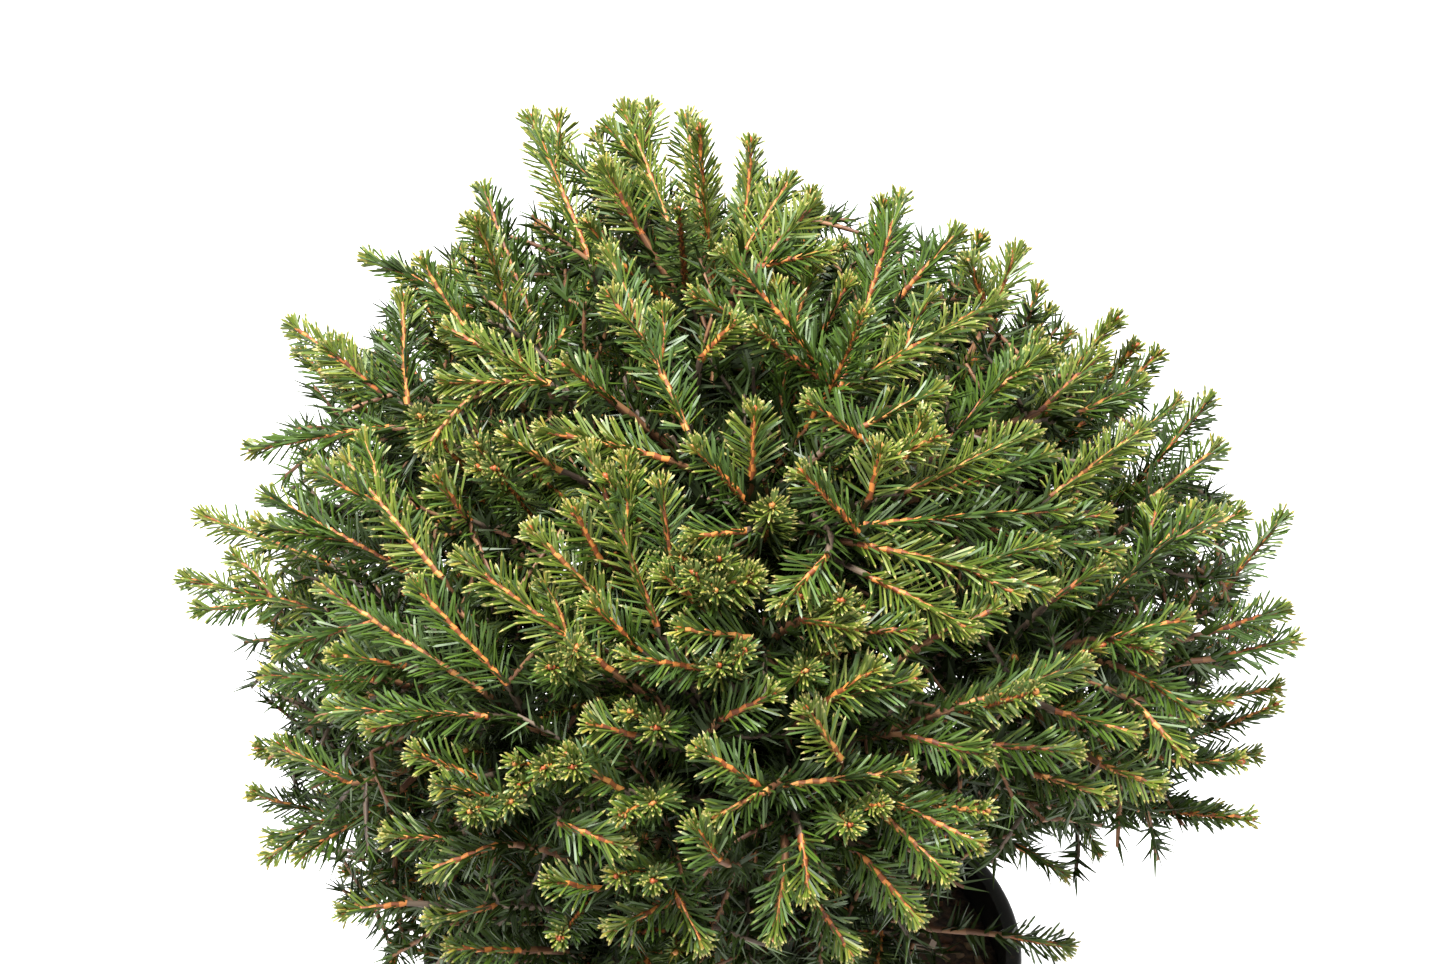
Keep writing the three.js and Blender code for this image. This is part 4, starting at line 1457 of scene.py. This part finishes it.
def trunk_radius(share, turn):
    lobe = 1 - ROOT_LOBE_DEPTH * (1 - np.cos(turn * ROOT_LOBES))
    flare = ROOT_FLARE * lobe * np.exp(-share * TRUNK_HEIGHT / ROOT_FLARE_FADE)
    return TRUNK_BASE_RADIUS + (TRUNK_TIP_RADIUS - TRUNK_BASE_RADIUS) * share + flare


shares = np.linspace(0, 1, TRUNK_RINGS) ** RINGS_CROWD_THE_FOOT
radius = trunk_radius(shares[:, None], round_angles(TRUNK_SIDES)[None, :])
trunk_part = tube(trunk_line, shares, radius, TRUNK_SIDES, TRUNK_PLATES)
trunk = solid_piece("trunk_bark", [trunk_part], bark)
finish_piece(trunk, ["trunk"])

# %% Boughs
BOUGH_SIDES, BOUGH_RINGS = 12, 40
BOUGH_PLATES = 0.7
INSIDE_THE_TRUNK = 7.5
bough_parts, bough_nodes = [], []
for mass in masses:
    if mass["name"] == "leader":
        continue
    bough_nodes.append(f"bough_{mass['name']}")
    base = INSIDE_THE_TRUNK / length_of(mass["line"].at(np.linspace(0, 1, 20)))
    shares = np.linspace(base, BOUGH_SHARE, BOUGH_RINGS)
    radius = mass["radius"] + (BOUGH_TIP_RADIUS - mass["radius"]) * shares[:, None] / BOUGH_SHARE
    bough_parts.append(tube(mass["line"], shares, radius, BOUGH_SIDES, BOUGH_PLATES))
boughs = solid_piece("boughs_bark", bough_parts, bark)
finish_piece(boughs, bough_nodes)

# %% [markdown]
# ## The pot
#
# A five-litre nursery pot is blown or moulded from thin black plastic. It tapers to a foot, its
# lip is rolled outwards, low rings and ribs stiffen its wall, and water leaves through holes in
# its floor. It is turned here from one profile, finer than the solid's, with the ribs pushed out
# afterwards. Soft wear, dust and dried splashes make the black plastic read as plastic, so its
# colour and gloss vary.

# %% Turn a profile round the pot's axis
def turn_profile(profile, sides, ribs=None):
    """Points and faces of a closed profile that starts and ends on the axis."""
    turn = round_angles(sides)
    points = [np.array([0, 0, profile[0][1]])]
    for r, z in profile[1:-1]:
        out = r + (ribs(r, z, turn) if ribs else 0 * turn)
        ring = np.stack([out * np.cos(turn), out * np.sin(turn), np.full(sides, z)], axis=1)
        points += list(ring)
    points.append(np.array([0, 0, profile[-1][1]]))
    rings, faces = len(profile) - 2, []
    for j in range(sides):
        k = (j + 1) % sides
        faces.append((0, 1 + k, 1 + j))
        for i in range(rings - 1):
            a, b = 1 + i * sides, 1 + (i + 1) * sides
            faces.append((a + j, a + k, b + k, b + j))
        last = 1 + (rings - 1) * sides
        faces.append((last + j, last + k, len(points) - 1))
    return points, faces


def rounded(centre_r, centre_z, radius, start, end, steps=4):
    """Points of a profile's rounded corner, from one angle to another in degrees."""
    angles = np.radians(np.linspace(start, end, steps + 1))
    return [(centre_r + radius * math.cos(a), centre_z + radius * math.sin(a)) for a in angles]


# %% The pot's wall, inside and out
POT_RIM_RADIUS = 112
POT_FOOT_RADIUS = 84
POT_FOOT_BEVEL = 1.2
POT_WALL = 2.2
POT_FLOOR = 3.3
LIP_DEPTH = 12
LIP_STAND_OUT = 3.6
wall_top = POT_RIM_RADIUS - LIP_STAND_OUT
flare = (wall_top - POT_FOOT_RADIUS) / (POT_HEIGHT - LIP_DEPTH - POT_FOOT_BEVEL)


def outside_at(z):
    return POT_FOOT_RADIUS + flare * (z - POT_FOOT_BEVEL)


def inside_at(z):
    rise = (z - POT_FLOOR) / (POT_HEIGHT - POT_FLOOR)
    return POT_FOOT_RADIUS - POT_WALL + (wall_top - POT_FOOT_RADIUS) * rise


# %% The pot's profile, from the middle of its foot round to the middle of its floor
FOOT_ROUND, LIP_FOOT_ROUND, LIP_ROUND = 1.8, 1.3, 1.8
GROOVES = (8.6, 11.4, 149.6, 151.2)
GROOVE_DEPTH = 0.5
WALL_RINGS = (5, 8, 8.6, 11.4, 12, 30, 50, 70, 90, 110, 130,
              149, 149.6, 151.2, 151.8, 168, 182, 189)
lip_foot = POT_HEIGHT - LIP_DEPTH
profile = [(0, 0), (20, 0), (40, 0), (66, 0)]
profile += rounded(POT_FOOT_RADIUS - FOOT_ROUND, FOOT_ROUND, FOOT_ROUND, -90, 0)
profile += [(outside_at(z) - (GROOVE_DEPTH if z in GROOVES else 0), z) for z in WALL_RINGS]
profile += [(wall_top, lip_foot - 0.3)]
profile += rounded(POT_RIM_RADIUS - LIP_FOOT_ROUND, lip_foot + LIP_FOOT_ROUND,
                   LIP_FOOT_ROUND, -90, 0)
profile += [(POT_RIM_RADIUS - 0.15, lip_foot + 4), (POT_RIM_RADIUS - 0.15, POT_HEIGHT - 4)]
profile += rounded(POT_RIM_RADIUS - LIP_ROUND, POT_HEIGHT - LIP_ROUND, LIP_ROUND, 0, 90, 5)
profile += [(wall_top - 0.6, POT_HEIGHT - 0.3), (wall_top - POT_WALL, POT_HEIGHT - 1.4)]
profile += [(inside_at(z), z) for z in (196, 188, 150, 100, 50, 8, POT_FLOOR)]
profile += [(60, POT_FLOOR), (30, POT_FLOOR), (0, POT_FLOOR)]

# %% The pot's ribs
RIBS = 24
RIB_HEIGHT = 0.45
RIB_NARROWS = 0.86
RIB_FOOT, RIB_TOP, RIB_FADE = 12, 149, 12
OUTER_PART_OF_WALL = 0.4


def stiffening_ribs(r, z, turn):
    """Low upright ribs on the outside of the wall, between its two rings."""
    outside = r > inside_at(z) + POT_WALL * OUTER_PART_OF_WALL
    if not (RIB_FOOT < z < RIB_TOP) or not outside:
        return 0 * turn
    crest = RIB_HEIGHT * np.clip(np.cos(turn * RIBS) - RIB_NARROWS, 0, 1) / (1 - RIB_NARROWS)
    return crest * min(1, (z - RIB_FOOT) / RIB_FADE, (RIB_TOP - z) / RIB_FADE)


# %% Pot plastic
PLASTIC, DUST, SPLASH = (15, 16, 17), (70, 64, 56), (74, 58, 44)


def pot_material():
    """Black plastic with dust that thickens towards the lip, and a few dried splashes."""
    material, bench, shader = new_material("pot_plastic", 0.5, Specular_IOR_Level=0.26)
    place = object_place(bench)
    cloud = bench.noise(place, 22.0, 5.0)
    streaks = bench.node("ShaderNodeMapping", None, {0: place, "Scale": (1, 1, 0.12)})
    streak = bench.noise(streaks, 90.0, 3.0)
    grain = bench.noise(place, 900.0, 2.0)
    specks = bench.node("ShaderNodeTexVoronoi", None, {"Vector": place, "Scale": 160.0})
    splash = bench.node("ShaderNodeMath", {"operation": "LESS_THAN"}, {0: specks, 1: 0.16})
    dusty = bench.node("ShaderNodeMapRange", {"clamp": True},
                       {0: bench.parts(place)[2], 1: 0.12, 2: 0.205, 3: 0.15, 4: 1.0})
    amount = bench.node("ShaderNodeMapRange", {"clamp": True},
                        {0: cloud * 0.5 + streak * 0.5, 1: 0.42, 2: 0.72, 3: 0.0, 4: 0.36})
    worn = bench.blend(amount * dusty + 0.08, PLASTIC, DUST)
    colour = bench.blend(splash * dusty * 0.45, worn, SPLASH)
    bench.feed(shader, Base_Color=colour, Roughness=0.4 + amount * 0.5 + grain * 0.06,
               Normal=bench.bump(grain, 0.16, 0.0004))
    return material


# %% The pot, with its drain holes
POT_SIDES = 144
DRAIN_HOLES = 6
DRAIN_HOLE_RADIUS = 5
DRAIN_RING_RADIUS = 58
DRILL_FOOT, DRILL_TOP, DRILL_SIDES = -4, 9, 24
SHARP_EDGE = 32
turned = turn_profile(profile, POT_SIDES, stiffening_ribs)
pot = solid_piece("nursery_pot", [turned], pot_material())
drill = [(0, DRILL_FOOT), (DRAIN_HOLE_RADIUS, DRILL_FOOT),
         (DRAIN_HOLE_RADIUS, DRILL_TOP), (0, DRILL_TOP)]
cutters = []
for i in range(DRAIN_HOLES):
    angle = 2 * math.pi * i / DRAIN_HOLES
    x, y = DRAIN_RING_RADIUS * math.cos(angle), DRAIN_RING_RADIUS * math.sin(angle)
    points, faces = turn_profile(drill, DRILL_SIDES)
    cutters.append(([p + (x, y, 0) for p in points], faces))
cutter = solid_piece("drain_cutter", cutters, pot.data.materials[0])
drilling = pot.modifiers.new("holes", "BOOLEAN")
drilling.object, drilling.operation, drilling.solver = cutter, "DIFFERENCE", "EXACT"
keep_result(pot)
bpy.data.objects.remove(cutter)
pot.data.set_sharp_from_angle(angle=math.radians(SHARP_EDGE))
finish_piece(pot, ["pot"])

# %% [markdown]
# ## The growing medium
#
# The pot is filled to just under its lip with dark peat and chips of bark. The bed is one solid
# with an uneven top, highest round the trunk, and the chips lie on it. Each chip could be its own
# object, but they are only seen as a litter of flakes, so Geometry Nodes scatter one rough flake
# over the top in different sizes and turns.

# %% The bed
MEDIUM_EDGE = 190
MEDIUM_SHOULDER = 192.5
MEDIUM_SHOULDER_RADIUS = 52
CREST_RADIUS = 26
BED_EDGE_RADIUS = 104
BED_RINGS, BED_SIDES = 34, 120
CALM_RADIUS, CALM_FADE, LUMPS_SINK = 14, 8, 0.6


def lumps(x, y):
    """A smooth uneven height in millimetres, from a few crossing waves."""
    long_waves = (0.8 * np.sin(x * 0.23 + 1.3 * np.sin(y * 0.11))
                  + 0.6 * np.sin(y * 0.31 + 0.9 * np.sin(x * 0.17)))
    return long_waves + 0.35 * np.sin((x + y) * 0.62) + 0.25 * np.sin((x - y) * 0.85)


def bed_height(r):
    return np.interp(r, [0, CREST_RADIUS, MEDIUM_SHOULDER_RADIUS, BED_EDGE_RADIUS],
                     [GROUND, GROUND, MEDIUM_SHOULDER, MEDIUM_EDGE])


def bed():
    """The bed's points and faces, level at the trunk's foot and uneven elsewhere."""
    top, foot = inside_at(MEDIUM_EDGE) - SEAT_GAP, POT_FLOOR + SEAT_GAP
    outline = [(0, foot), (inside_at(POT_FLOOR) - SEAT_GAP, foot)]
    outline += [(inside_at(z) - SEAT_GAP, z) for z in (40, 90, 140, MEDIUM_EDGE - 3)]
    rings = [top * (1 - i / BED_RINGS) for i in range(BED_RINGS)]
    outline += [(r, float(bed_height(r))) for r in rings] + [(0, GROUND)]
    points, faces = turn_profile(outline, BED_SIDES)
    points = np.array(points)
    on_top = points[:, 2] > MEDIUM_EDGE - 1
    out = np.hypot(points[:, 0], points[:, 1])
    calm = np.clip((out - CALM_RADIUS) / CALM_FADE, 0, 1)
    uneven = lumps(points[:, 0], points[:, 1]) - LUMPS_SINK + chance.rand(len(points))
    points[on_top, 2] += (calm * uneven)[on_top]
    return points, faces


# %% Peat
def medium_material():
    material, bench, shader = new_material("peat", 0.95)
    place = object_place(bench)
    crumbs = bench.noise(place, 260.0, 6.0)
    fibres = bench.node("ShaderNodeTexVoronoi", None, {"Vector": place, "Scale": 420.0})
    colour = bench.ramp(crumbs * 0.8 + fibres * 0.35,
                        (0.3, (22, 15, 11)), (0.55, (52, 37, 26)), (0.8, (92, 70, 50)))
    bench.feed(shader, Base_Color=colour, Normal=bench.bump(crumbs + fibres * 0.6, 0.9, 0.0012))
    return material


medium = solid_piece("peat_bed", [bed()], medium_material())
finish_piece(medium, ["growing_medium"])

# %% Chips of bark
CHIP_COLOURS = {
    "dark": ((36, 24, 17), (74, 52, 36)),
    "red": ((62, 36, 22), (116, 74, 46)),
    "pale": ((92, 70, 50), (150, 122, 92)),
}
CHIP_SIZES = {"Chips per Square Metre": 26000.0, "Chip Length": 0.0075, "Seed": 5}
CHIP_BREADTH, CHIP_THICKNESS = 0.55, 0.26
# In metres: the height above which chips lie, and the two radii between which they lie.
CHIPS_ABOVE, CHIPS_WITHIN, CHIPS_BEYOND = 0.188, 0.0995, 0.019


def chip_material(name, dark, light):
    material, bench, shader = new_material(name, 0.85)
    grain = bench.noise(object_place(bench), 240.0, 4.0)
    colour = bench.ramp(grain, (0.3, dark), (0.7, light))
    bench.feed(shader, Base_Color=colour, Normal=bench.bump(grain, 0.6, 0.0008))
    return material


def chips_may_lie(bench):
    """True on the bed's top, between the trunk's foot and the pot's wall."""
    place = bench.node("GeometryNodeInputPosition")
    level = bench.node("ShaderNodeVectorMath", {"operation": "MULTIPLY"}, {0: place, 1: (1, 1, 0)})
    far = bench.node("ShaderNodeVectorMath", {"operation": "LENGTH"}, {0: level}, 1)
    return (bench.compare(bench.parts(place)[2], "GREATER_THAN", CHIPS_ABOVE)
            * bench.compare(far, "LESS_THAN", CHIPS_WITHIN)
            * bench.compare(far, "GREATER_THAN", CHIPS_BEYOND))


# %% The chip tree
def by_chance(bench, kind, low, high, seed):
    """A different value for each copy; the node's sockets for vectors come before the others."""
    first = 0 if kind == "FLOAT_VECTOR" else 2
    return bench.node("FunctionNodeRandomValue", {"data_type": kind},
                      {first: low, first + 1: high, "Seed": seed}, first // 2)


def chip_tree():
    tree, bench, wire = new_tree("chips", CHIP_SIZES)
    scattered = bench.node("GeometryNodeDistributePointsOnFaces", None,
                           {"Mesh": wire["Geometry"], "Selection": chips_may_lie(bench),
                            "Density": wire["Chips per Square Metre"], "Seed": wire["Seed"]})
    flake = bench.node("GeometryNodeMeshIcoSphere", None, {"Radius": 0.5, "Subdivisions": 1})
    rough = bench.node("ShaderNodeTexNoise", None,
                       {"Vector": bench.node("GeometryNodeInputPosition"), "Scale": 1.7}, "Color")
    rough = bench.node("ShaderNodeVectorMath", {"operation": "SUBTRACT"},
                       {0: rough, 1: (0.5, 0.5, 0.5)})
    flake = bench.node("GeometryNodeSetPosition", None, {"Geometry": flake, "Offset": rough})
    spin = by_chance(bench, "FLOAT_VECTOR", (-0.3, -0.3, 0), (0.3, 0.3, 6.28), 11)
    length = wire["Chip Length"] * by_chance(bench, "FLOAT", 0.35, 1.2, 12)
    size = bench.vector(length, length * CHIP_BREADTH, length * CHIP_THICKNESS)
    stood = stand_copies(bench, scattered, flake, size, spin)
    # Rounded, this is the number of one of the three materials.
    tone = by_chance(bench, "FLOAT", 0.0, 2.49, 13)
    toned = bench.store(stood, "INSTANCE", "tone", tone)
    kinds = [chip_material(f"chip_{name}", *pair) for name, pair in CHIP_COLOURS.items()]
    end_tree(bench, toned, bench.named("tone"), kinds, smooth=False)
    return tree


chips = put_in_scene("bark_chips", medium.data.copy())
grow(chips, chip_tree(), CHIP_SIZES)
finish_piece(chips, ["growing_medium"])

# %% [markdown]
# ## Floor, light and camera
#
# The photograph was taken in a white studio, under broad soft light from above. The floor is
# plain and pale, and bright enough that the plant's soft shadow stays light. The camera looks
# down at the crown at the photograph's angle, through a long lens.

# %% Floor
FLOOR_REACH = 12
corners = [(-FLOOR_REACH, -FLOOR_REACH, 0), (FLOOR_REACH, -FLOOR_REACH, 0),
           (FLOOR_REACH, FLOOR_REACH, 0), (-FLOOR_REACH, FLOOR_REACH, 0)]
floor_mesh = bpy.data.meshes.new("floor")
floor_mesh.from_pydata(corners, [], [(0, 1, 2, 3)])
paper = new_material("studio_floor", 0.9, (0.9, 0.9, 0.9),
                     Emission_Color=(1, 1, 1, 1), Emission_Strength=0.41)[0]
floor_mesh.materials.append(paper)
floor = put_in_scene("floor", floor_mesh)

# %% Light
world = bpy.data.worlds.new("studio")
world.use_nodes = True
background = world.node_tree.nodes["Background"].inputs
background["Color"].default_value = (1, 1, 1, 1)
background["Strength"].default_value = 0.7
bpy.context.scene.world = world
bpy.context.scene.view_settings.view_transform = "Standard"

lamp = bpy.data.lights.new("overhead", "AREA")
lamp.shape, lamp.size, lamp.energy = "DISK", 0.9, 120
overhead = put_in_scene("overhead", lamp)
overhead.location = (-0.4, -0.35, 2.2)
light_falls_on = Vector((0, 0, 0.36))
overhead.rotation_euler = (light_falls_on - overhead.location).to_track_quat("-Z", "Y").to_euler()

# %% Camera
ELEVATION = math.radians(32)
TARGET = np.array([0, 23.7, 392.8])
DISTANCE = 1200
lens = bpy.data.cameras.new("camera")
lens.lens = 85.0
lens.sensor_width = 36.0
camera = put_in_scene("camera", lens)
away = np.array([0, -math.cos(ELEVATION), math.sin(ELEVATION)])
camera.location = Vector((TARGET + away * DISTANCE) * MILLIMETRE)
camera.rotation_euler = (math.pi / 2 - ELEVATION, 0, 0)
bpy.context.scene.camera = camera
